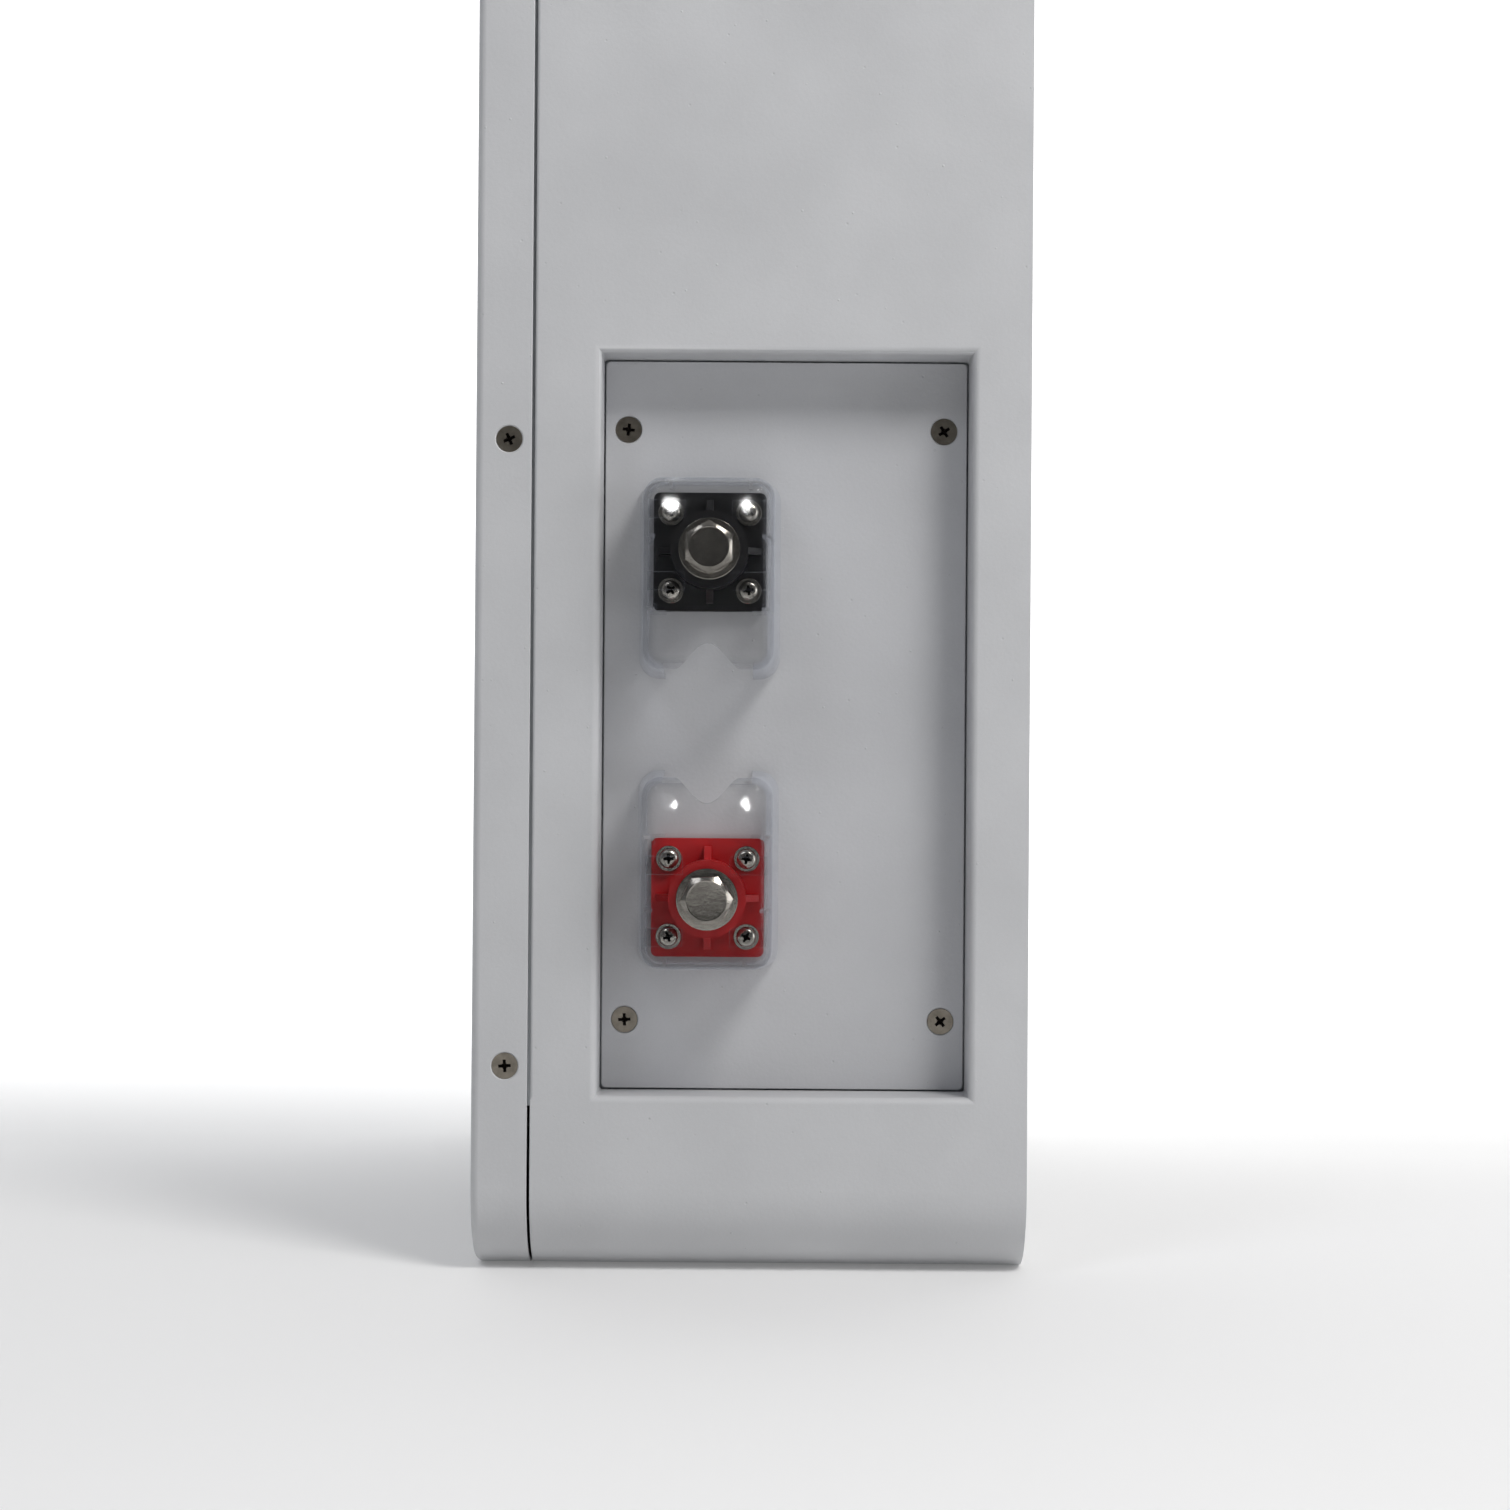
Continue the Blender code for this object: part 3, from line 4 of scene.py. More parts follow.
import bmesh
import bpy
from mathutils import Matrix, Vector


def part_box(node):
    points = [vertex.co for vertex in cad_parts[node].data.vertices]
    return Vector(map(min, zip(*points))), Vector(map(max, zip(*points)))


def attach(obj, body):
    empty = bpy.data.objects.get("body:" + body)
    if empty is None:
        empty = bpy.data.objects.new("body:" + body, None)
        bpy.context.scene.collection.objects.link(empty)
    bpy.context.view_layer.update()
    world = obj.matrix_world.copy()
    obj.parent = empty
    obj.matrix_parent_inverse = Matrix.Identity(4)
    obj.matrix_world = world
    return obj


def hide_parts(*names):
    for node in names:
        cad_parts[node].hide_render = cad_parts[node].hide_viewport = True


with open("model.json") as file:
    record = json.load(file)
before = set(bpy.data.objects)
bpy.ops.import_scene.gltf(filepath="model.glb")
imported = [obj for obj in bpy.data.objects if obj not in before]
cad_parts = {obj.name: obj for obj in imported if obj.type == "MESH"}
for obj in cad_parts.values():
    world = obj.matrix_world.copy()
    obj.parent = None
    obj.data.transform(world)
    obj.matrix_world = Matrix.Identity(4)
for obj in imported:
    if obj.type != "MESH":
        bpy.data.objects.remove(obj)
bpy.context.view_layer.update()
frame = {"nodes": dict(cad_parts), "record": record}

# ------------------------------------------------------------------ cabinet body
# The body is one sheet of 1.5 mm steel folded into a tube with 30 mm corners. Its terminal side
# is pressed in to a recess with mitred corners, and its front edge is rolled back where the cover
# meets it. It is powder coated after folding.

SHEET = 0.0015
CORNER = 0.030
RECESS_BEND = 0.0026
RECESS_CORNER = 0.0007
PLATE_GAP = 0.0006
ROLLED_EDGE = 0.0011
ROLL_END = 0.061
SHEET_EDGE = 0.00025
BEND_STEPS = 24
TIGHT = 1e-5

shell_low, shell_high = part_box("body_shell")
plate_low, plate_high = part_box("terminal_plate")
side_y = shell_low.y
plate_y = plate_low.y


def start(name, add, **settings):
    """Adds a primitive with nothing else selected, keeps its place in its mesh, and opens it."""
    if bpy.context.mode != "OBJECT":
        bpy.ops.object.mode_set(mode="OBJECT")
    bpy.ops.object.select_all(action="DESELECT")
    add(**settings)
    part = bpy.context.object
    part.name = name
    part.data.name = name
    bpy.ops.object.transform_apply(location=True, rotation=True, scale=True)
    bpy.ops.object.mode_set(mode="EDIT")
    return part


def start_block(name, low, high):
    low, high = Vector(low), Vector(high)
    add = bpy.ops.mesh.primitive_cube_add
    return start(name, add, size=1, location=(low + high) / 2, scale=high - low)


def pick(part, kind, test):
    """Selects the points, edges or faces of an open piece for which the test holds."""
    bpy.ops.mesh.select_mode(type=kind)
    bpy.ops.mesh.select_all(action="DESELECT")
    mesh = bmesh.from_edit_mesh(part.data)
    mesh.normal_update()
    for element in {"VERT": mesh.verts, "EDGE": mesh.edges, "FACE": mesh.faces}[kind]:
        if test(element):
            element.select_set(True)
    mesh.select_flush_mode()
    bmesh.update_edit_mesh(part.data)


def middle(element):
    corners = [corner.co for corner in element.verts]
    return sum(corners, Vector()) / len(corners)


def runs_along(edge, axis):
    line = edge.verts[1].co - edge.verts[0].co
    return abs(line[axis]) > 0.999 * line.length


def all_at(element, axis, value):
    return all(abs(corner.co[axis] - value) < TIGHT for corner in element.verts)


def select_only(part):
    if bpy.context.mode != "OBJECT":
        bpy.ops.object.mode_set(mode="OBJECT")
    bpy.ops.object.select_all(action="DESELECT")
    bpy.context.view_layer.objects.active = part
    part.select_set(True)


def apply_step(part, kind, **settings):
    """Adds a modifier with its settings and applies it."""
    select_only(part)
    step = part.modifiers.new(kind.lower(), kind)
    for name, value in settings.items():
        setattr(step, name, value)
    bpy.ops.object.modifier_apply(modifier=step.name)


def round_edges(part, width, steps=2, angle=40):
    apply_step(
        part, "BEVEL", width=width, segments=steps, limit_method="ANGLE", angle_limit=radians(angle)
    )


def finish_piece(part, material, body, slot, *nodes, angle=35):
    select_only(part)
    bpy.ops.object.shade_smooth_by_angle(angle=radians(angle))
    apply_step(part, "WEIGHTED_NORMAL", keep_sharp=True)
    part.data.materials.clear()
    part.data.materials.append(material)
    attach(part, body)
    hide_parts(*nodes)


def linear(code):
    """The linear colour of an sRGB hex value."""
    shares = [int(code[place : place + 2], 16) / 255 for place in (1, 3, 5)]
    return [s / 12.92 if s <= 0.04045 else ((s + 0.055) / 1.055) ** 2.4 for s in shares] + [1.0]


def add_node(tree, kind, settings=None, links=None):
    """Adds a node, sets its properties and sockets, and links its inputs."""
    node = tree.nodes.new("ShaderNode" + kind)
    for name, value in (settings or {}).items():
        if isinstance(name, str) and hasattr(node, name):
            setattr(node, name, value)
        else:
            node.inputs[name].default_value = value
    for name, source in (links or {}).items():
        tree.links.new(source, node.inputs[name])
    return node


def start_material(name, colour, settings):
    """A material with its constants on the shader, and the Object coordinates it reads."""
    made = bpy.data.materials.new(name)
    made.use_nodes = True
    tree = made.node_tree
    shader = tree.nodes["Principled BSDF"]
    shader.inputs["Base Color"].default_value = linear(colour)
    for socket, value in settings.items():
        shader.inputs[socket].default_value = value
    place = add_node(tree, "TexCoord").outputs["Object"]
    return made, tree, shader, place


def blend_colours(tree, shader, factor, low, high):
    """Runs the base colour from one hex value to another by a factor from 0 to 1."""
    ramp = add_node(tree, "ValToRGB", links={"Fac": factor})
    ramp.color_ramp.elements[0].color = linear(low)
    ramp.color_ramp.elements[1].color = linear(high)
    tree.links.new(ramp.outputs["Color"], shader.inputs["Base Color"])


def vary_roughness(tree, shader, factor, low, high):
    spread = add_node(tree, "MapRange", {"To Min": low, "To Max": high}, {"Value": factor})
    tree.links.new(spread.outputs["Result"], shader.inputs["Roughness"])


def raise_bumps(tree, shader, *layers):
    """Stacks bump layers, each a height from 0 to 1 and its real depth in metres."""
    normal = None
    for height, depth in layers:
        links = {"Height": height}
        if normal:
            links["Normal"] = normal
        normal = add_node(tree, "Bump", {"Distance": depth}, links).outputs["Normal"]
    tree.links.new(normal, shader.inputs["Normal"])


PEEL, PEEL_DEPTH = 0.0013, 0.00006
GRIT = 0.0004
CLOUD = 0.05
NIB_SPACING, NIB_HEIGHT = 0.0085, 0.00022
PIT_SPACING, PIT_DEPTH = 0.0105, 0.00018
SPOT_SHARE = 0.055


def make_powder_coat(name, low, high):
    """Polyester powder coat, sprayed dry and baked: a satin skin with a fine orange peel of about
    1.3 mm, a slight cloudiness, and a scatter of dust nibs and pin holes half a millimetre wide."""
    made, tree, shader, place = start_material(name, high, {"Roughness": 0.42, "IOR": 1.5})
    peel = add_node(tree, "TexNoise", {"Scale": 1 / PEEL, "Detail": 2.5}, {"Vector": place})
    grit = add_node(tree, "TexNoise", {"Scale": 1 / GRIT, "Detail": 1.0}, {"Vector": place})
    cloud = add_node(tree, "TexNoise", {"Scale": 1 / CLOUD, "Detail": 3.0}, {"Vector": place})
    nib = add_node(tree, "TexVoronoi", {"Scale": 1 / NIB_SPACING}, {"Vector": place})
    pit = add_node(tree, "TexVoronoi", {"Scale": 1 / PIT_SPACING}, {"Vector": place})
    dot = {"From Min": SPOT_SHARE, "From Max": 0.0}
    nibs = add_node(tree, "MapRange", dot, {"Value": nib.outputs["Distance"]})
    pits = add_node(tree, "MapRange", dot, {"Value": pit.outputs["Distance"]})
    sunk = add_node(tree, "Math", {"operation": "SUBTRACT", 0: 1.0}, {1: pits.outputs["Result"]})
    spread = {"From Min": 0.3, "From Max": 0.7}
    grain = add_node(tree, "MapRange", {**spread, "To Max": 0.25}, {"Value": grit.outputs["Fac"]})
    shade = add_node(tree, "MapRange", {**spread, "To Max": 0.75}, {"Value": cloud.outputs["Fac"]})
    whole = add_node(
        tree, "Math", {"operation": "ADD"}, {0: grain.outputs["Result"], 1: shade.outputs["Result"]}
    )
    spotted = add_node(
        tree, "Math", {"operation": "MULTIPLY"}, {0: whole.outputs["Value"], 1: sunk.outputs["Value"]}
    )
    blend_colours(tree, shader, spotted.outputs["Value"], low, high)
    vary_roughness(tree, shader, cloud.outputs["Fac"], 0.36, 0.50)
    raise_bumps(
        tree,
        shader,
        (peel.outputs["Fac"], PEEL_DEPTH),
        (nibs.outputs["Result"], NIB_HEIGHT),
        (sunk.outputs["Value"], PIT_DEPTH),
    )
    return made


grey_coat = make_powder_coat("powder_coated_sheet_steel", "#bbbcbe", "#c5c6c8")

shell = start_block("cabinet_body", shell_low, shell_high)
pick(shell, "EDGE", lambda e: runs_along(e, 0))
bpy.ops.mesh.bevel(offset=CORNER, segments=BEND_STEPS, affect="EDGES")
pick(shell, "FACE", lambda f: abs(f.normal.x) > 0.9)
bpy.ops.mesh.delete(type="FACE")
wall_x = (plate_low.x - PLATE_GAP, plate_high.x + PLATE_GAP)
wall_z = (plate_low.z - PLATE_GAP, plate_high.z + PLATE_GAP)
for axis, levels in ((0, wall_x), (2, wall_z)):
    for level in levels:
        pick(shell, "FACE", lambda f: all_at(f, 1, side_y))
        spot, across = Vector(), Vector()
        spot[axis] = level
        across[axis] = 1
        bpy.ops.mesh.bisect(plane_co=spot, plane_no=across)


def in_recess(element):
    spot = middle(element)
    wide = wall_x[0] - TIGHT < spot.x < wall_x[1] + TIGHT
    return wide and wall_z[0] - TIGHT < spot.z < wall_z[1] + TIGHT


pick(shell, "FACE", lambda f: all_at(f, 1, side_y) and in_recess(f))
bpy.ops.mesh.extrude_region_move(
    TRANSFORM_OT_translate={"value": (0, plate_high.y - side_y, 0)}
)
bpy.ops.mesh.delete(type="FACE")
pick(shell, "EDGE", lambda e: all_at(e, 1, side_y) and in_recess(e))
bpy.ops.mesh.bevel(offset=RECESS_BEND, segments=6, affect="EDGES")
pick(shell, "EDGE", lambda e: runs_along(e, 1) and in_recess(e))
bpy.ops.mesh.bevel(offset=RECESS_CORNER, segments=3, affect="EDGES")
for level in (ROLL_END, shell_high.z - ROLL_END):
    bpy.ops.mesh.select_all(action="SELECT")
    bpy.ops.mesh.bisect(plane_co=(0, 0, level), plane_no=(0, 0, 1))
apply_step(shell, "SOLIDIFY", thickness=SHEET, offset=-1, use_even_offset=True)
bpy.ops.object.mode_set(mode="EDIT")


def on_rolled_edge(edge):
    on_side = all_at(edge, 1, shell_low.y) or all_at(edge, 1, shell_high.y)
    height = middle(edge).z
    rolled = ROLL_END < height < shell_high.z - ROLL_END
    return on_side and rolled and all_at(edge, 0, shell_low.x)


pick(shell, "EDGE", on_rolled_edge)
bpy.ops.mesh.bevel(offset=ROLLED_EDGE, segments=4, affect="EDGES")
round_edges(shell, SHEET_EDGE, 2, 60)
finish_piece(shell, grey_coat, "cabinet", "powder_coat", "body_shell")

# ------------------------------------------------------------------ back panel
# A shallow tray of the same sheet, its flange turned forward, spot-welded into the rear of the
# body. Only its flat face and the thin line round it can be seen.

panel_low, panel_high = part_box("back_panel")
panel = start_block("cabinet_back_panel", panel_low, panel_high)
pick(panel, "EDGE", lambda e: runs_along(e, 0))
bpy.ops.mesh.bevel(offset=CORNER - (panel_low.z - shell_low.z), segments=BEND_STEPS, affect="EDGES")
pick(panel, "EDGE", lambda e: all_at(e, 0, panel_high.x))
bpy.ops.mesh.bevel(offset=SHEET, segments=4, affect="EDGES")
pick(panel, "FACE", lambda f: f.normal.x < -0.9)
bpy.ops.mesh.delete(type="FACE")
apply_step(panel, "SOLIDIFY", thickness=SHEET, offset=-1, use_even_offset=True)
finish_piece(panel, grey_coat, "cabinet", "powder_coat", "back_panel")

# ------------------------------------------------------------------ front cover
# A pressed tray with a 3 mm rounded front edge. Its flange runs back to the seam and has three
# countersunk holes a side, where screws hold it to a strip inside the body.

COVER_EDGE = 0.003
COVER_LIP = 0.00035
HOLE_RIM = 0.0050
HOLE_SHANK = 0.0028
HOLE_SINK = 0.0003
HOLE_DEPTH = 0.012
HOLE_ABOVE = 0.002

cover_low, cover_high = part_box("front_cover")


def turn_profile(name, profile, steps=64):
    """Draws (radius, height) points from one point and spins them about Z."""
    first = profile[0]
    add = bpy.ops.mesh.primitive_plane_add
    part = start(name, add, size=TIGHT, location=(first[0], 0, first[1]))
    bpy.ops.mesh.select_mode(type="VERT")
    bpy.ops.mesh.select_all(action="SELECT")
    bpy.ops.mesh.merge(type="CENTER")
    for before, after in zip(profile, profile[1:]):
        step = (after[0] - before[0], 0, after[1] - before[1])
        bpy.ops.mesh.extrude_vertices_move(TRANSFORM_OT_translate={"value": step})
    bpy.ops.mesh.select_all(action="SELECT")
    bpy.ops.mesh.spin(steps=steps, angle=2 * pi, center=(0, 0, 0), axis=(0, 0, 1))
    bpy.ops.mesh.select_all(action="SELECT")
    bpy.ops.mesh.remove_doubles(threshold=TIGHT / 10)
    bpy.ops.mesh.normals_make_consistent(inside=False)
    return part


def put(part, spot=(0, 0, 0), turn=(0, 0, 0)):
    """Turns and moves a piece, and leaves its place in its mesh."""
    select_only(part)
    part.rotation_euler = turn
    part.location = spot
    bpy.ops.object.transform_apply(location=True, rotation=True, scale=True)
    return part


def copy_piece(part, name):
    twin = part.copy()
    twin.data = part.data.copy()
    twin.name = name
    bpy.context.scene.collection.objects.link(twin)
    return twin


def join_pieces(parts):
    select_only(parts[0])
    for part in parts[1:]:
        part.select_set(True)
    bpy.ops.object.join()
    return parts[0]


def cut(part, tool, operation="DIFFERENCE"):
    """Cuts a piece with a tool, or merges the two, and clears the tool away."""
    apply_step(part, "BOOLEAN", object=tool, operation=operation, solver="EXACT")
    bpy.data.objects.remove(tool)


def screw_spots(prefix, count):
    """The middle of each screw's head, read from the frame, and whether it faces out at +Y."""
    spots = []
    for number in range(1, count + 1):
        low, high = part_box(f"{prefix}_{number}")
        far = low.y > 0
        face = high.y if far else low.y
        spots.append((Vector(((low.x + high.x) / 2, face, (low.z + high.z) / 2)), far))
    return spots


FACING = (pi / 2, 0, 0)
FACING_FAR = (pi / 2, 0, pi)


def drill_countersinks(part, spots, sink):
    """Cuts a 90 degree countersunk hole at each spot, its rim a little wider than the head."""
    drop = HOLE_RIM - HOLE_SHANK
    profile = [(0, -HOLE_DEPTH), (HOLE_SHANK, -HOLE_DEPTH), (HOLE_SHANK, -drop)]
    profile += [(HOLE_RIM, 0), (HOLE_RIM, HOLE_ABOVE), (0, HOLE_ABOVE)]
    drill = turn_profile("countersink", profile, 48)
    select_only(drill)
    drills = []
    for spot, far in spots:
        sunk = Vector((0, sink if far else -sink, 0))
        turned = FACING_FAR if far else FACING
        drills.append(put(copy_piece(drill, "countersink_copy"), spot + sunk, turned))
    bpy.data.objects.remove(drill)
    cut(part, join_pieces(drills))


cover = start_block("cabinet_front_cover", cover_low, cover_high)
pick(cover, "EDGE", lambda e: runs_along(e, 0))
bpy.ops.mesh.bevel(offset=CORNER, segments=BEND_STEPS, affect="EDGES")
pick(cover, "EDGE", lambda e: all_at(e, 0, cover_low.x))
bpy.ops.mesh.bevel(offset=COVER_EDGE, segments=6, affect="EDGES")
pick(cover, "FACE", lambda f: f.normal.x > 0.9)
bpy.ops.mesh.delete(type="FACE")
apply_step(cover, "SOLIDIFY", thickness=SHEET, offset=-1, use_even_offset=True)
round_edges(cover, COVER_LIP, 3, 60)
cover_screws = screw_spots("cover_screw", 6)
drill_countersinks(cover, cover_screws, HOLE_SINK)
finish_piece(cover, grey_coat, "cabinet", "powder_coat", "front_cover")

# ------------------------------------------------------------------ terminal plate
# A flat 3 mm plate lies on the ledge at the bottom of the recess, with a narrow dark gap all
# round and a countersunk screw near each corner. It has the same coat, sprayed on its own.

PLATE_CORNER = 0.0018
PLATE_EDGE = 0.0003

plate_coat = make_powder_coat("powder_coated_plate", "#babbbe", "#c4c5c8")
plate = start_block("recess_terminal_plate", plate_low, plate_high)
pick(plate, "EDGE", lambda e: runs_along(e, 1))
bpy.ops.mesh.bevel(offset=PLATE_CORNER, segments=6, affect="EDGES")
round_edges(plate, PLATE_EDGE, 3, 60)
plate_screws = screw_spots("plate_screw", 4)
drill_countersinks(plate, plate_screws, 0)
finish_piece(plate, plate_coat, "cabinet", "powder_coat", "terminal_plate")

# ------------------------------------------------------------------ countersunk screws
# M5 countersunk screws, cold headed and nickel plated: a warm grey satin head, and a cross recess
# painted near-black as shade. Ten alike, each stopped at its own angle when tightened.

HEAD = 0.0046
SHANK = 0.0025
SCREW_LENGTH = 0.012
RIDGES = 8
RIDGE_PITCH = 0.0008
RIDGE_START = 0.0006
RIDGE_HEIGHT = 0.0004
BARE_SHANK = 0.0012
HEAD_BAND = 0.00025
HEAD_WORN = 0.00015
CROSS_REACH = 0.0024
CROSS_ARM = 0.00055
CROSS_DEPTH = 0.0019
RECESS_RIM = 0.0003


def make_metal(name, low, high, rough_low, rough_high, grain, depth):
    """Bare or plated metal: cloudy reflections from a grain of the given size and depth."""
    made, tree, shader, place = start_material(name, high, {"Metallic": 1.0, "Roughness": rough_low})
    fine = add_node(tree, "TexNoise", {"Scale": 1 / grain, "Detail": 4.0}, {"Vector": place})
    broad = add_node(tree, "TexNoise", {"Scale": 0.18 / grain, "Detail": 3.0}, {"Vector": place})
    blend_colours(tree, shader, broad.outputs["Fac"], low, high)
    vary_roughness(tree, shader, fine.outputs["Fac"], rough_low, rough_high)
    raise_bumps(tree, shader, (fine.outputs["Fac"], depth))
    return made


def recess_faces(master, top, reach, depth):
    """The numbers of the faces inside a screw's cross."""
    found = []
    for face in master.data.polygons:
        spot = face.center
        deep = top - 1.4 * depth < spot.z < top - RECESS_RIM
        if deep and Vector((spot.x, spot.y)).length < reach:
            found.append(face.index)
    return found


def paint_recess_shade(screw, faces):
    """Paints the inside of the cross near-black as shade, in a second material slot."""
    screw.data.materials.append(recess_shade_metal)
    for number in faces:
        screw.data.polygons[number].material_index = 1


nickel = make_metal("satin_nickel_plate", "#67625a", "#aea699", 0.24, 0.44, 0.0006, 0.00004)
# Near-black metal for the inside of each cross: painted shade, standing in for the shade deep in the
# recess.
recess_shade_metal = make_metal("recess_painted_shade_metal", "#15130f", "#332f2a", 0.45, 0.65, 0.0006, 0.00002)


WING_TAPER = (0.45, 0.8, 1)


def make_cross_bit(reach, arm, depth):
    """The shape of a cross driver's tip, with its mouth at height 0."""
    wings = []
    for turned in (0, pi / 2):
        wing = start_block("wing", (-reach, -arm, -depth), (reach, arm, depth / 4))
        pick(wing, "FACE", lambda f: f.normal.z < -0.9)
        bpy.ops.transform.resize(value=WING_TAPER)
        wings.append(put(wing, turn=(0, 0, turned)))
    point = [(0, -depth * 1.25), (arm * 0.9, -depth), (arm * 2.3, depth / 4), (0, depth / 4)]
    core = turn_profile("core", point, 24)
    cut(wings[0], wings[1], "UNION")
    cut(wings[0], core, "UNION")
    return wings[0]


neck = HEAD - SHANK
thread = []
for ridge in range(RIDGES):
    height = -SCREW_LENGTH + RIDGE_START + ridge * RIDGE_PITCH
    thread += [(SHANK - RIDGE_HEIGHT, height), (SHANK, height + RIDGE_HEIGHT)]
profile = [(0, -SCREW_LENGTH)] + thread + [(SHANK, -neck - BARE_SHANK), (SHANK, -neck)]
profile += [(HEAD, -HEAD_BAND), (HEAD - HEAD_WORN, 0), (0, 0)]
master = turn_profile("countersunk_master", profile, 64)
cut(master, make_cross_bit(CROSS_REACH, CROSS_ARM, CROSS_DEPTH))
round_edges(master, 0.0001, 2, 40)
inside_cross = recess_faces(master, 0, CROSS_REACH, CROSS_DEPTH)
screw_turns = {
    "cover_screw": (4, 24, 61, 17, 80, 38),
    "plate_screw": (-7, 33, 3, 38),
}
for prefix, spots in (("cover_screw", cover_screws), ("plate_screw", plate_screws)):
    for number, (spot, far) in enumerate(spots, 1):
        screw = copy_piece(master, f"countersunk_{prefix}_{number}")
        put(screw, turn=(0, 0, radians(screw_turns[prefix][number - 1])))
        put(screw, spot, FACING_FAR if far else FACING)
        finish_piece(screw, nickel, "cabinet", "nickel_plated_steel", f"{prefix}_{number}")
        # The inside of the cross is painted near-black, as shade.
        paint_recess_shade(screw, inside_cross)
bpy.data.objects.remove(master)

# ------------------------------------------------------------------ terminal bases
# Each terminal stands on a moulded block of glass-filled nylon, black or red: a square foot with
# rounded edges and a round tower stiffened by four ribs. Moulding leaves it satin and finely
# grained. A tapped brass sleeve is pressed into the tower.

FOOT_WIDTH = 0.0395
FOOT_LENGTH = 0.0415
FOOT_TOP = 0.0045
FOOT_CORNER = 0.0022
GAP = 0.0003
TOWER = 0.0135
TOWER_TOP = 0.0175
SPIGOT = 0.0120
SPIGOT_END = -0.0090
RIB = 0.0024
RIB_END = 0.0180
RIB_SHOULDER = 0.0070
RIB_TOP = 0.0130
INSERT = 0.0090
INSERT_TOP = 0.0185
INSERT_STUD = -0.0280
INSERT_FLOOR = 0.0046
INSERT_WORN = 0.0003
MOUTH_OUT = 0.0007
MOUTH_DOWN = 0.0004
ROOT = 0.002
BORE_END = 0.03
BASE_EDGE = 0.0004
BOLT = 0.0050

terminals = {}
for name in ("negative", "positive"):
    low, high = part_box(f"{name}_flat_washer")
    terminals[name] = Vector(((low.x + high.x) / 2, plate_y, (low.z + high.z) / 2))

SPARK_GRAIN, SPARK_DEPTH = 0.0003, 0.00004
FLOW_MARKS = 0.009


def make_moulded_nylon(name, low, high, rough):
    """Glass-filled nylon as moulded: satin, with a spark-eroded grain of 0.05 mm, drawn at
    0.3 mm so that it shows, and faint flow marks about 9 mm apart."""
    made, tree, shader, place = start_material(name, high, {"Roughness": rough, "IOR": 1.53})
    grain = add_node(tree, "TexNoise", {"Scale": 1 / SPARK_GRAIN, "Detail": 2.0}, {"Vector": place})
    marks = {"Scale": 1 / FLOW_MARKS, "Detail": 3.0, "Distortion": 1.2}
    flow = add_node(tree, "TexNoise", marks, {"Vector": place})
    blend_colours(tree, shader, flow.outputs["Fac"], low, high)
    vary_roughness(tree, shader, flow.outputs["Fac"], rough - 0.06, rough + 0.08)
    raise_bumps(tree, shader, (grain.outputs["Fac"], SPARK_DEPTH))
    return made


base_nylon = {
    "negative": make_moulded_nylon("black_glass_filled_nylon", "#08080a", "#131316", 0.42),
    "positive": make_moulded_nylon("red_glass_filled_nylon", "#a00b10", "#c4141a", 0.38),
}
brass = make_metal("turned_brass", "#8f7338", "#cfae62", 0.22, 0.38, 0.0008, 0.00003)

half_width, half_length = FOOT_WIDTH / 2, FOOT_LENGTH / 2
base_master = start_block(
    "base_master", (-half_width, -half_length, GAP), (half_width, half_length, FOOT_TOP)
)
pick(base_master, "EDGE", lambda e: runs_along(e, 2))
bpy.ops.mesh.bevel(offset=FOOT_CORNER, segments=6, affect="EDGES")
tower = [(0, SPIGOT_END), (SPIGOT, SPIGOT_END), (SPIGOT, ROOT), (TOWER, ROOT)]
tower += [(TOWER, TOWER_TOP), (0, TOWER_TOP)]
cut(base_master, turn_profile("tower", tower, 72), "UNION")
for turned in (0, pi / 2):
    rib = start_block("rib", (-RIB_END, -RIB / 2, ROOT), (RIB_END, RIB / 2, RIB_SHOULDER))
    pick(rib, "FACE", lambda f: f.normal.z > 0.9)
    bpy.ops.mesh.extrude_region_move(
        TRANSFORM_OT_translate={"value": (0, 0, RIB_TOP - RIB_SHOULDER)}
    )
    bpy.ops.transform.resize(value=((TOWER - RIB / 2) / RIB_END, 1, 1))
    cut(base_master, put(rib, turn=(0, 0, turned)), "UNION")
bore = [(0, 2 * SPIGOT_END), (INSERT + GAP, 2 * SPIGOT_END)]
bore += [(INSERT + GAP, BORE_END), (0, BORE_END)]
cut(base_master, turn_profile("bore", bore, 72))
round_edges(base_master, BASE_EDGE, 3, 50)

sleeve = [(0, INSERT_STUD), (BOLT - MOUTH_DOWN, INSERT_STUD), (BOLT, INSERT_STUD + MOUTH_DOWN)]
sleeve += [(BOLT, SPIGOT_END), (INSERT, SPIGOT_END), (INSERT, INSERT_TOP - INSERT_WORN)]
sleeve += [(INSERT - INSERT_WORN, INSERT_TOP), (BOLT + MOUTH_OUT, INSERT_TOP)]
sleeve += [(BOLT + GAP, INSERT_TOP - MOUTH_DOWN), (BOLT + GAP, INSERT_FLOOR), (0, INSERT_FLOOR)]
insert_master = turn_profile("insert_master", sleeve, 64)
for name, spot in terminals.items():
    base = put(copy_piece(base_master, f"{name}_moulded_base"), spot, FACING)
    colour = "black_nylon" if name == "negative" else "red_nylon"
    finish_piece(base, base_nylon[name], "cabinet", colour, f"{name}_terminal_base")
    insert = put(copy_piece(insert_master, f"{name}_brass_sleeve"), spot, FACING)
    finish_piece(insert, brass, "cabinet", "brass", f"{name}_insert")
bpy.data.objects.remove(base_master)
bpy.data.objects.remove(insert_master)

# ------------------------------------------------------------------ base screws
# Four M4 pan-head screws hold each base to the plate, with a captive spring washer and a flat
# washer under the head. They are stainless, cold formed and bright, with a cross recess.

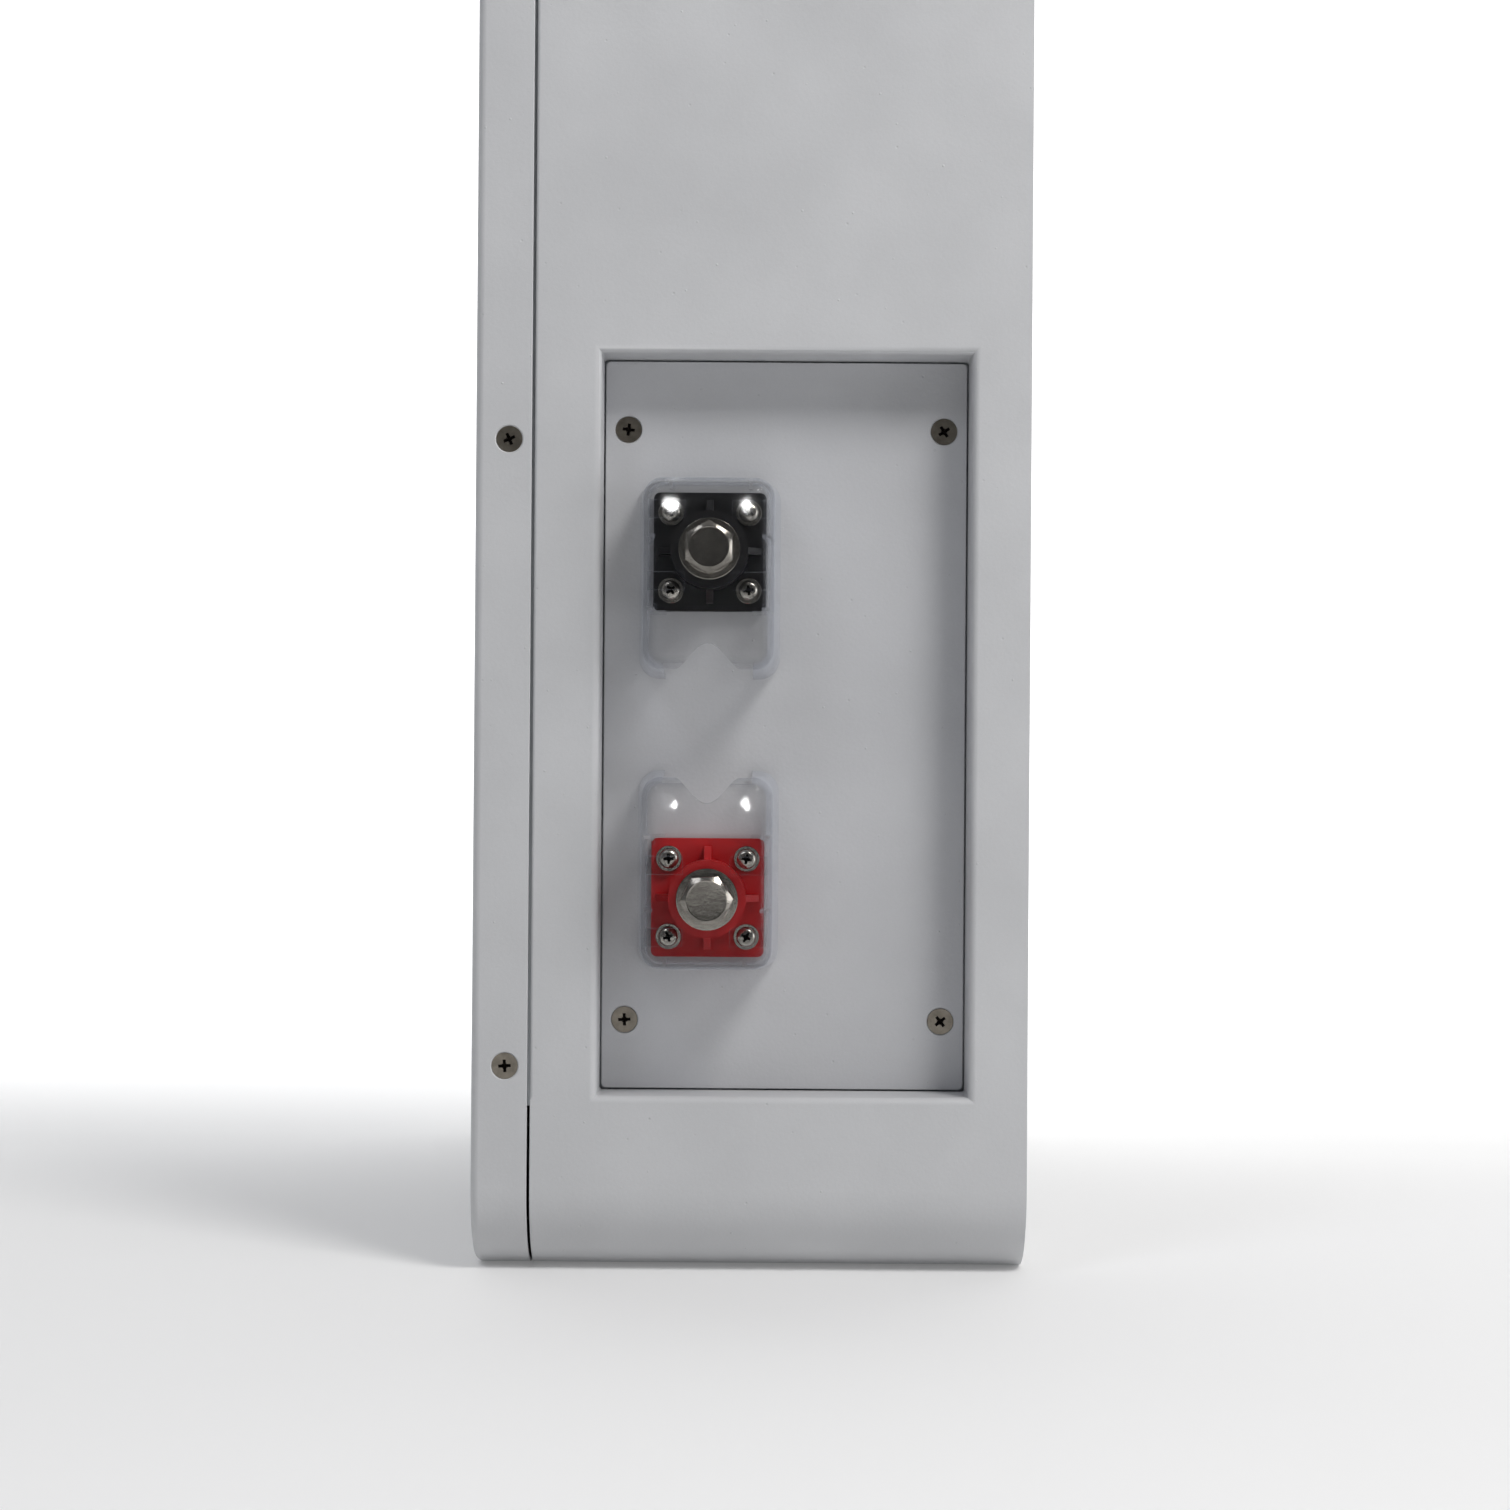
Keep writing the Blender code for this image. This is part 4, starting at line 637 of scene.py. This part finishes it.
PAN = 0.0034
PAN_HEIGHT = 0.0026
PAN_WASHER = 0.0045
PAN_FLAT = 0.0008
PAN_SPRING = 0.0030
PAN_SPRING_THICKNESS = 0.0010
PAN_PITCH = 0.0272
PAN_SHANK = 0.0018
PAN_LENGTH = 0.012
PAN_WORN = 0.0001
PAN_RIM = 0.0002
PAN_SIDE = 0.0010
PAN_DOME = 0.0015
PAN_DOME_TURN = radians(78)
PAN_DOME_STEPS = 7
PAN_DOME_SHARE = 0.58
PAN_EDGE = 0.00007
PAN_CROSS = 0.0020
PAN_CROSS_ARM = 0.0005
PAN_CROSS_DEPTH = 0.0016

stainless = make_metal("cold_formed_stainless", "#8d8a84", "#c9c5bd", 0.16, 0.32, 0.0007, 0.00003)

foot = FOOT_TOP + GAP
flat_top = foot + PAN_FLAT
spring_top = flat_top + PAN_SPRING_THICKNESS
pan_profile = [(0, foot - PAN_LENGTH), (PAN_SHANK, foot - PAN_LENGTH), (PAN_SHANK, foot)]
pan_profile += [(PAN_WASHER - PAN_WORN, foot), (PAN_WASHER, foot + PAN_WORN)]
pan_profile += [(PAN_WASHER, flat_top - HEAD_WORN), (PAN_WASHER - HEAD_WORN, flat_top)]
pan_profile += [(PAN_SPRING, flat_top), (PAN_SPRING, spring_top), (PAN - PAN_RIM, spring_top)]
pan_profile += [(PAN, spring_top + PAN_RIM), (PAN, spring_top + PAN_SIDE)]
for step in range(1, PAN_DOME_STEPS + 1):
    bend = step / PAN_DOME_STEPS * PAN_DOME_TURN
    radius = PAN * (1 - PAN_DOME_SHARE + PAN_DOME_SHARE * cos(bend))
    pan_profile.append((radius, spring_top + PAN_SIDE + PAN_DOME * sin(bend)))
pan_profile.append((0, spring_top + PAN_HEIGHT))
pan_master = turn_profile("pan_master", pan_profile, 48)
pan_top = spring_top + PAN_HEIGHT
bit = make_cross_bit(PAN_CROSS, PAN_CROSS_ARM, PAN_CROSS_DEPTH)
cut(pan_master, put(bit, (0, 0, pan_top)))
round_edges(pan_master, PAN_EDGE, 1, 45)
inside_cross = recess_faces(pan_master, pan_top, PAN_CROSS, PAN_CROSS_DEPTH)
reach = PAN_PITCH / 2
corners = ((-reach, reach), (reach, reach), (-reach, -reach), (reach, -reach))
pan_turns = {"negative": (12, -35, 40, 8), "positive": (3, -10, 20, -28)}
for name, spot in terminals.items():
    for number, (across, up) in enumerate(corners, 1):
        screw = copy_piece(pan_master, f"{name}_pan_screw_{number}")
        put(screw, turn=(0, 0, radians(pan_turns[name][number - 1])))
        put(screw, spot + Vector((across, 0, up)), FACING)
        node = f"{name}_base_screw_{number}"
        finish_piece(screw, stainless, "cabinet", "stainless_steel", node)
        # The inside of the cross is painted near-black, as shade.
        paint_recess_shade(screw, inside_cross)
bpy.data.objects.remove(pan_master)

# ------------------------------------------------------------------ terminal bolts and washers
# An M10 hexagon bolt clamps the cable's lug against the sleeve, over a spring washer and a wide
# flat washer. The head is cold formed and then turned to its round chamfer; no marks are stamped
# on it. The thread is drawn as rings of the 1.5 mm pitch.

ACROSS_FLATS = 0.0160
HEAD_HEIGHT = 0.0064
CROWN = 0.0069
BOLT_LENGTH = 0.018
WASHER = 0.01075
WASHER_THICKNESS = 0.0020
SPRING = 0.0086
SPRING_THICKNESS = 0.0022
SPLIT = 0.0016
PITCH = 0.0015
WORN = 0.00025
SLOT_START, SLOT_END = 0.002, 0.012
SLOT_PAST = 0.002
SPLIT_LEAN = 0.0020
BLANK = 0.0095
BLANK_FOOT = 0.0082
BLANK_BELOW = 0.001
BLANK_SIDE = 0.0006
CROWN_STEP = 0.0004
CROWN_SUNK = 0.00012
TURNS = 11
THREAD_POINT = 0.0009
THREAD_DEPTH = 0.0007
THREAD_START = 0.0004
THREAD_NECK = 0.0006
THREAD_CREST = (0.42, 0.58)
SHANK_INTO_HEAD = 0.002
BOLT_EDGE = 0.00012

bright_stainless = make_metal("turned_stainless", "#8b8780", "#c4bfb6", 0.13, 0.28, 0.0011, 0.00003)


def ring_profile(inner, outer, low, high, worn):
    """The closed section of a washer with its edges worn round."""
    return [
        (inner, low),
        (outer - worn, low),
        (outer, low + worn),
        (outer, high - worn),
        (outer - worn * 0.3, high - worn * 0.3),
        (outer - worn, high),
        (inner + worn, high),
        (inner, high - worn),
        (inner, low),
    ]


washer_low = INSERT_TOP + GAP
washer_top = washer_low + WASHER_THICKNESS
spring_low = washer_top + GAP
spring_high = spring_low + SPRING_THICKNESS
head_low = spring_high + GAP
head_top = head_low + HEAD_HEIGHT
hole = BOLT + GAP
flat_master = turn_profile(
    "flat_master", ring_profile(hole, WASHER, washer_low, washer_top, WORN * 1.4), 96
)
spring_master = turn_profile(
    "spring_master", ring_profile(hole, SPRING, spring_low, spring_high, WORN), 96
)
slot_low = (SLOT_START, -SPLIT / 2, spring_low - SLOT_PAST)
slot_high = (SLOT_END, SPLIT / 2, spring_high + SLOT_PAST)
slot = start_block("split", slot_low, slot_high)
pick(slot, "FACE", lambda f: f.normal.z > 0.9)
bpy.ops.transform.translate(value=(0, SPLIT_LEAN, 0))
cut(spring_master, slot)

add_hexagon = bpy.ops.mesh.primitive_cylinder_add
bolt_master = start(
    "bolt_master",
    add_hexagon,
    vertices=6,
    radius=ACROSS_FLATS / 2 / cos(pi / 6),
    depth=HEAD_HEIGHT,
    location=(0, 0, (head_low + head_top) / 2),
)
fall = (BLANK - CROWN) * tan(pi / 6)
below = head_low - BLANK_BELOW
blank = [(0, below), (BLANK_FOOT, below), (BLANK, head_low + BLANK_SIDE)]
blank += [(BLANK, head_top - fall), (CROWN, head_top)]
blank += [(CROWN - CROWN_STEP, head_top - CROWN_SUNK), (0, head_top - CROWN_SUNK)]
cut(bolt_master, turn_profile("blank", blank, 96), "INTERSECT")
shank = [(0, head_low - BOLT_LENGTH), (BOLT - THREAD_POINT, head_low - BOLT_LENGTH)]
for ridge in range(TURNS):
    height = head_low - BOLT_LENGTH + THREAD_START + ridge * PITCH
    shank.append((BOLT - THREAD_DEPTH, height))
    shank += [(BOLT, height + PITCH * share) for share in THREAD_CREST]
shank += [(BOLT - THREAD_DEPTH, head_low - THREAD_NECK), (BOLT, head_low)]
shank += [(BOLT, head_low + SHANK_INTO_HEAD), (0, head_low + SHANK_INTO_HEAD)]
cut(bolt_master, turn_profile("shank", shank, 64), "UNION")
round_edges(bolt_master, BOLT_EDGE, 2, 25)
bolt_turns = {"negative": 0, "positive": 34}
for name, spot in terminals.items():
    washers = f"{name}_washers"
    flat = put(copy_piece(flat_master, f"{name}_wide_washer"), spot, FACING)
    finish_piece(flat, bright_stainless, washers, "stainless_steel", f"{name}_flat_washer")
    spring = copy_piece(spring_master, f"{name}_split_washer")
    put(spring, turn=(0, 0, radians(205 - bolt_turns[name])))
    put(spring, spot, FACING)
    finish_piece(spring, stainless, washers, "stainless_steel", f"{name}_spring_washer")
    bolt = copy_piece(bolt_master, f"{name}_hexagon_bolt")
    put(bolt, turn=(0, 0, radians(bolt_turns[name])))
    put(bolt, spot, FACING)
    node = f"{name}_bolt"
    finish_piece(bolt, bright_stainless, f"{name}_bolt_body", "stainless_steel", node, angle=20)
for part in (flat_master, spring_master, bolt_master):
    bpy.data.objects.remove(part)

# ------------------------------------------------------------------ terminal covers
# Each terminal has a clear cover, moulded in one piece of polycarbonate 1.8 mm thick. Its walls
# lean in, thin ribs and hooks guide it over the base, its cable end is open, and its front has a
# bell-shaped bay over the cable. Four thin steps in the front show where the mould's inserts met.

LID_WIDTH = 0.0495
LID_CLOSED = 0.0255
LID_CABLE = 0.0445
LID_TOP = 0.0380
LID_DRAFT = 0.0026
LID_WALL = 0.0018
LID_CORNER = 0.0075
LID_EDGE = 0.0055
LID_LIP = 0.0042
GATE = 0.0306
BAY = 0.0210
BAY_DEPTH = 0.0085
BAY_SWELL = 0.7
BAY_ROUND = 0.0004
BAY_STEPS = 24
GUIDE = 0.0012
GUIDE_REACH = 0.0022
GUIDE_MIDDLE = 0.0026
HOOK_IN = 0.0150
HOOK_TAB = 0.0184
HOOK_LOW = 0.0055
HOOK_HIGH = 0.0160
HOOK_WALL = 0.00108
HOOK_OUT = 0.0010
TAB_END = 0.0036
TAB_HIGH = 0.0150
INSERT_MARK = (0.0130, 0.0064)
MARK_SPOT = (0.0142, 0.0122)
MARK_DEPTH = 0.0003
MARK_SLOPE = 0.93
RIPPLE, RIPPLE_DEPTH = 0.012, 0.000025
SCUFF = 0.0016
CLEAR_FACE = 0.05
CLEAR_EDGE = 0.72
# Painted colours: a near-black shade tint face-on and a pale bluish reflection band where the walls turn
# away.
FACE_SHADE_TINT = "#14161a"
EDGE_REFLECTION_PAINT = "#d3d9e6"

# Clear polycarbonate, injection moulded and glossy: seen square on it hardly shows. Its colour is
# painted light:
# a faint near-black tint face-on is painted shade over what it covers, and where a wall turns away a
# pale bluish band is painted reflection. Slow ripples and fine scuffs break its gloss.
clear, tree, shader, place = start_material(
    "clear_moulded_polycarbonate", EDGE_REFLECTION_PAINT, {"Roughness": 0.04, "IOR": 1.58}
)
turned_away = add_node(tree, "LayerWeight", {"Blend": 0.35}).outputs["Facing"]
# The base colour is painted: a dark shade tint face-on, a pale reflection band where the wall turns
# away.
blend_colours(tree, shader, turned_away, FACE_SHADE_TINT, EDGE_REFLECTION_PAINT)
veil = {"From Min": 0.0, "From Max": 0.9, "To Min": CLEAR_FACE, "To Max": CLEAR_EDGE}
cover_over = add_node(tree, "MapRange", veil, {"Value": turned_away})
tree.links.new(cover_over.outputs["Result"], shader.inputs["Alpha"])
ripple = add_node(tree, "TexNoise", {"Scale": 1 / RIPPLE, "Detail": 1.5}, {"Vector": place})
scuff = add_node(tree, "TexNoise", {"Scale": 1 / SCUFF, "Detail": 5.0}, {"Vector": place})
vary_roughness(tree, shader, scuff.outputs["Fac"], 0.01, 0.04)
raise_bumps(tree, shader, (ripple.outputs["Fac"], RIPPLE_DEPTH))

half = LID_WIDTH / 2
lid_master = start_block("lid_master", (-half, -LID_CABLE, GAP), (half, LID_CLOSED, LID_TOP))
pick(lid_master, "EDGE", lambda e: runs_along(e, 2))
bpy.ops.mesh.bevel(offset=LID_CORNER, segments=10, affect="EDGES")
pick(lid_master, "FACE", lambda f: f.normal.z > 0.9)
length = LID_CLOSED + LID_CABLE
shrink = (1 - 2 * LID_DRAFT / LID_WIDTH, 1 - 2 * LID_DRAFT / length, 1)
bpy.ops.transform.resize(value=shrink)
pick(lid_master, "EDGE", lambda e: all_at(e, 2, LID_TOP))
bpy.ops.mesh.bevel(offset=LID_EDGE, segments=10, affect="EDGES")
pick(lid_master, "FACE", lambda f: f.normal.z < -0.9)
bpy.ops.mesh.delete(type="FACE")
apply_step(lid_master, "SOLIDIFY", thickness=LID_WALL, offset=-1, use_even_offset=True)


def add_guide(low, high, lean):
    """A thin rib on the wall's inside: a block whose top leans in with the wall."""
    guide = start_block("guide", low, high)
    pick(guide, "FACE", lambda f: f.normal.z > 0.9)
    bpy.ops.transform.translate(value=(lean[0], lean[1], 0))
    cut(lid_master, guide, "UNION")


rib_low, rib_high = FOOT_TOP / 2, LID_TOP - LID_WALL / 2
wall = half - LID_WALL / 2
low_rib = -(half_length + GAP + GUIDE)
for y in (GUIDE_MIDDLE, low_rib):
    for side in (-1, 1):
        xs = sorted((side * wall, side * (half - LID_WALL - GUIDE_REACH)))
        add_guide((xs[0], y, rib_low), (xs[1], y + GUIDE, rib_high), (-side * LID_DRAFT, 0))
for side in (-1, 1):
    xs = sorted((side * HOOK_IN, side * (half - LID_WALL - HOOK_OUT)))
    add_guide((xs[0], low_rib, HOOK_LOW), (xs[1], low_rib + HOOK_WALL, HOOK_HIGH), (0, 0))
    xs = sorted((side * HOOK_TAB, side * (HOOK_TAB + GUIDE)))
    tab_start = low_rib + GUIDE / 2
    add_guide((xs[0], tab_start, HOOK_LOW), (xs[1], low_rib + TAB_END, TAB_HIGH), (0, 0))
for side in (-1, 1):
    x = side * reach
    ys = (LID_CLOSED - LID_WALL - GUIDE_REACH, LID_CLOSED - LID_WALL / 2)
    add_guide((x, ys[0], rib_low), (x + GUIDE, ys[1], rib_high), (0, -LID_DRAFT))

gate_end = -(LID_CABLE - LID_DRAFT - LID_WALL - LID_EDGE)
gate_low = (-GATE / 2, -2 * LID_CABLE, -GAP)
gate_high = (GATE / 2, gate_end, LID_TOP - LID_LIP)
cut(lid_master, start_block("gate", gate_low, gate_high))

edge = -(LID_CABLE - LID_DRAFT)
outline = [(-BAY / 2, 2 * edge), (BAY / 2, 2 * edge)]
for step in range(BAY_STEPS + 1):
    x = BAY / 2 - BAY * step / BAY_STEPS
    rise = max(0, 0.5 + 0.5 * cos(2 * pi * x / BAY)) ** BAY_SWELL
    outline.append((x, edge + BAY_DEPTH * rise))
corner = (*outline[0], LID_TOP / 2)
bay = start("bay", bpy.ops.mesh.primitive_plane_add, size=TIGHT, location=corner)
bpy.ops.mesh.select_mode(type="VERT")
bpy.ops.mesh.select_all(action="SELECT")
bpy.ops.mesh.merge(type="CENTER")
for before, after in zip(outline, outline[1:]):
    step = (after[0] - before[0], after[1] - before[1], 0)
    bpy.ops.mesh.extrude_vertices_move(TRANSFORM_OT_translate={"value": step})
bpy.ops.mesh.select_all(action="SELECT")
bpy.ops.mesh.edge_face_add()
bpy.ops.mesh.extrude_region_move(TRANSFORM_OT_translate={"value": (0, 0, LID_TOP)})
bpy.ops.mesh.select_all(action="SELECT")
bpy.ops.mesh.normals_make_consistent(inside=False)
cut(lid_master, bay)

inside = LID_TOP - LID_WALL
marks = []
for across in (-MARK_SPOT[0], MARK_SPOT[0]):
    for up in (-MARK_SPOT[1], MARK_SPOT[1]):
        low = (across - INSERT_MARK[0] / 2, up - INSERT_MARK[1] / 2, inside - MARK_DEPTH)
        high = (across + INSERT_MARK[0] / 2, up + INSERT_MARK[1] / 2, inside + MARK_DEPTH)
        mark = start_block("insert_mark", low, high)
        pick(mark, "FACE", lambda f: f.normal.z > 0.9)
        bpy.ops.transform.resize(value=(MARK_SLOPE, MARK_SLOPE, 1))
        marks.append(mark)
cut(lid_master, join_pieces(marks))


def on_bay(e):
    """Whether an edge is on the bay's outline, in the front's outer or inner plane."""
    level = all_at(e, 2, LID_TOP) or all_at(e, 2, inside)
    near_end = max(v.co.y for v in e.verts) < edge + BAY_DEPTH + TIGHT
    return level and near_end and e.calc_face_angle(0) > 1


select_only(lid_master)
bpy.ops.object.mode_set(mode="EDIT")
pick(lid_master, "EDGE", on_bay)
bpy.ops.mesh.bevel(offset=BAY_ROUND, segments=3, affect="EDGES")
bpy.ops.object.mode_set(mode="OBJECT")

for name, spot in terminals.items():
    lid = copy_piece(lid_master, f"{name}_clear_cover")
    put(lid, spot, (pi / 2, 0 if name == "negative" else pi, 0))
    node = f"{name}_terminal_cover"
    finish_piece(lid, clear, f"{name}_cover_body", "clear_polycarbonate", node)
bpy.data.objects.remove(lid_master)

# ------------------------------------------------------------------ inside of the cabinet
# Ledge frame, screw strips, tray, shelf, cells, links, electronics and cables keep their shapes
# from the frame. Each gets the finish of what it is: galvanised sheet, shrink sleeve, bare copper,
# extruded aluminium, circuit board, ceramic and silicone insulation.


def make_matt(name, low, high, rough, grain, depth):
    """A dull skin with a grain of the given size: sleeve film, solder mask, ceramic or silicone."""
    made, tree, shader, place = start_material(name, high, {"Roughness": rough})
    fine = add_node(tree, "TexNoise", {"Scale": 1 / grain, "Detail": 3.0}, {"Vector": place})
    blend_colours(tree, shader, fine.outputs["Fac"], low, high)
    vary_roughness(tree, shader, fine.outputs["Fac"], rough - 0.08, rough + 0.08)
    raise_bumps(tree, shader, (fine.outputs["Fac"], depth))
    return made


inner_finishes = {
    "galvanised_steel": make_metal("galvanised_sheet", "#8f9396", "#b6babd", 0.34, 0.52, 0.004, 0.00002),
    "stainless_steel": stainless,
    "copper": make_metal("rolled_copper", "#8e5536", "#c98a63", 0.26, 0.42, 0.003, 0.00002),
    "tinned_copper": make_metal("tin_plate", "#9b988f", "#c9c6be", 0.26, 0.40, 0.002, 0.00002),
    "aluminium": make_metal("extruded_aluminium", "#a3a5a8", "#cbcdd0", 0.30, 0.45, 0.002, 0.00002),
    "cell_sleeve": make_matt("blue_shrink_sleeve", "#123a66", "#1b4f86", 0.32, 0.006, 0.00005),
    "circuit_board": make_matt("green_solder_mask", "#0b3d20", "#14552e", 0.35, 0.001, 0.00002),
    "fuse_ceramic": make_matt("unglazed_ceramic", "#cfcabd", "#e2ddd1", 0.60, 0.0008, 0.00003),
    "black_nylon": base_nylon["negative"],
    "red_cable": make_matt("red_silicone_insulation", "#8c1015", "#a8171c", 0.45, 0.002, 0.00003),
    "black_cable": make_matt("black_silicone_insulation", "#101011", "#1c1c1e", 0.45, 0.002, 0.00003),
}
slots = {part["node"]: part["material_slot"] for part in frame["record"]["subparts"]}
inner = ["recess_ledge_frame", "module_tray", "equipment_shelf", "bms_heat_sink", "bms_board"]
inner += ["terminal_side_screw_strip", "far_side_screw_strip", "fuse_holder", "main_fuse"]
for name in ("near", "far"):
    inner += [f"{name}_lower_cell_module", f"{name}_upper_cell_module", f"{name}_module_link"]
inner.append("lower_module_link")
for name in terminals:
    inner += [f"{name}_{what}" for what in ("inner_lug", "inner_nut", "end_bar", "cable")]
for name in inner:
    node = frame["nodes"][name]
    for place in node.material_slots:
        place.material = inner_finishes[slots[name]]

# ------------------------------------------------------------------ camera
# A long lens one metre from the terminal side, level with the terminals and square to it.

CAMERA_AWAY = 1.0
CAMERA_HEIGHT = 0.1743
CAMERA_ASIDE = 0.0013
LENS = 69.16
SENSOR = 36.0
TILT = radians(0.30)
ROLL = radians(0.41)

lens = bpy.data.cameras.new("long_lens")
lens.lens = LENS
lens.sensor_width = SENSOR
lens.clip_start = 0.05
camera = bpy.data.objects.new("camera", lens)
camera.location = (CAMERA_ASIDE, side_y - CAMERA_AWAY, CAMERA_HEIGHT)
camera.rotation_euler = (pi / 2 + TILT, -ROLL, 0)
scene = bpy.context.scene
scene.collection.objects.link(camera)
scene.camera = camera
scene.view_settings.view_transform = "Standard"

# ------------------------------------------------------------------ studio
# A plain white sweep under and behind the cabinet, a soft key light from the upper right, a low one
# from the right and a fill from the upper left. The room is dim in front, for the bare metal to
# mirror. Four small lamps light nothing but the clear covers, which mirror them as round spots.

SWEEP_BACK = 1.4
SWEEP_FRONT = -2.2
SWEEP_SIDE = 2.4
SWEEP_TOP = 3.0
SWEEP_BEND = 0.6
SWEEP_GLOW = (0.11, 1.0)
GLOW_FROM = (-0.1, 1.0)
ROOM_FRONT = 0.06
ROOM_SIDES = 0.42
ROOM_TURN = (-1.0, 0.3)

floor = start_block("floor_sweep", (-SWEEP_SIDE, SWEEP_FRONT, -0.01), (SWEEP_SIDE, SWEEP_BACK, 0))
pick(floor, "FACE", lambda f: f.normal.z < 0.9)
bpy.ops.mesh.delete(type="FACE")
pick(floor, "EDGE", lambda e: all_at(e, 1, SWEEP_BACK))
bpy.ops.mesh.extrude_region_move(TRANSFORM_OT_translate={"value": (0, 0, SWEEP_TOP)})
pick(floor, "EDGE", lambda e: all_at(e, 1, SWEEP_BACK) and all_at(e, 2, 0))
bpy.ops.mesh.bevel(offset=SWEEP_BEND, segments=24, affect="EDGES")
select_only(floor)
bpy.ops.object.shade_smooth()
paper, tree, shader, place = start_material(
    "white_paper_sweep", "#dedede", {"Roughness": 0.9, "Specular IOR Level": 0.1}
)
shader.inputs["Emission Color"].default_value = linear("#ffffff")
depth = add_node(tree, "SeparateXYZ", links={"Vector": place}).outputs["Y"]
glow = {"interpolation_type": "SMOOTHSTEP", "From Min": GLOW_FROM[0], "From Max": GLOW_FROM[1]}
glow |= {"To Min": SWEEP_GLOW[0], "To Max": SWEEP_GLOW[1]}
bright = add_node(tree, "MapRange", glow, {"Value": depth})
tree.links.new(bright.outputs["Result"], shader.inputs["Emission Strength"])
floor.data.materials.append(paper)

world = bpy.data.worlds.new("dim_room")
scene.world = world
world.use_nodes = True
room = world.node_tree
wall = room.nodes["Background"]
wall.inputs["Color"].default_value = linear("#f2f4f7")
way = add_node(room, "TexCoord").outputs["Generated"]
facing = add_node(room, "SeparateXYZ", links={"Vector": way})
dim = {"From Min": ROOM_TURN[0], "From Max": ROOM_TURN[1]}
dim |= {"To Min": ROOM_FRONT, "To Max": ROOM_SIDES}
level = add_node(room, "MapRange", dim, {"Value": facing.outputs["Y"]})
room.links.new(level.outputs["Result"], wall.inputs["Strength"])

LIGHTS = (
    ("key", "#fffdfa", 19.0, 0.65, (0.80, -1.15, 1.55)),
    ("side", "#fdfdff", 6.5, 0.90, (1.50, -0.80, 0.35)),
    ("fill", "#f4f7ff", 4.5, 0.60, (-0.75, -1.15, 1.50)),
)
GLINTS = (-0.0126, 0.0126)
GLINT_UP = 0.0235
GLINT_SIZE = 0.0065
GLINT_POWERS = (0.055, 0.032)
GLINT_AWAY = 1.2

eye = Vector((CAMERA_ASIDE, side_y - CAMERA_AWAY, CAMERA_HEIGHT))
aim = Vector((0, plate_y, 0.22))
mirrors = bpy.data.collections.new("glossy_covers")
for name in terminals:
    mirrors.objects.link(bpy.data.objects[f"{name}_clear_cover"])
glints = []
for name, spot in terminals.items():
    front_y = plate_y - LID_TOP
    cable_way = -1 if name == "negative" else 1
    centre = spot.z + cable_way * (LID_CABLE - LID_CLOSED) / 2
    for step, across in enumerate(GLINTS):
        seen = Vector((spot.x + across, front_y, centre + GLINT_UP))
        there = seen + (seen - eye) * GLINT_AWAY / (front_y - eye.y)
        there.y = front_y - GLINT_AWAY
        glints.append((f"{name}_glint_{step}", "#ffffff", GLINT_POWERS[step], GLINT_SIZE, there))
for name, colour, power, size, spot in (*LIGHTS, *glints):
    lamp = bpy.data.lights.new(name, "AREA")
    lamp.shape = "DISK"
    lamp.size = size
    lamp.energy = power
    lamp.color = linear(colour)[:3]
    stand = bpy.data.objects.new(name + "_light", lamp)
    stand.location = spot
    stand.rotation_euler = (aim - Vector(spot)).to_track_quat("-Z", "Y").to_euler()
    stand.visible_camera = False
    scene.collection.objects.link(stand)
    if "glint" in name:
        stand.light_linking.receiver_collection = mirrors
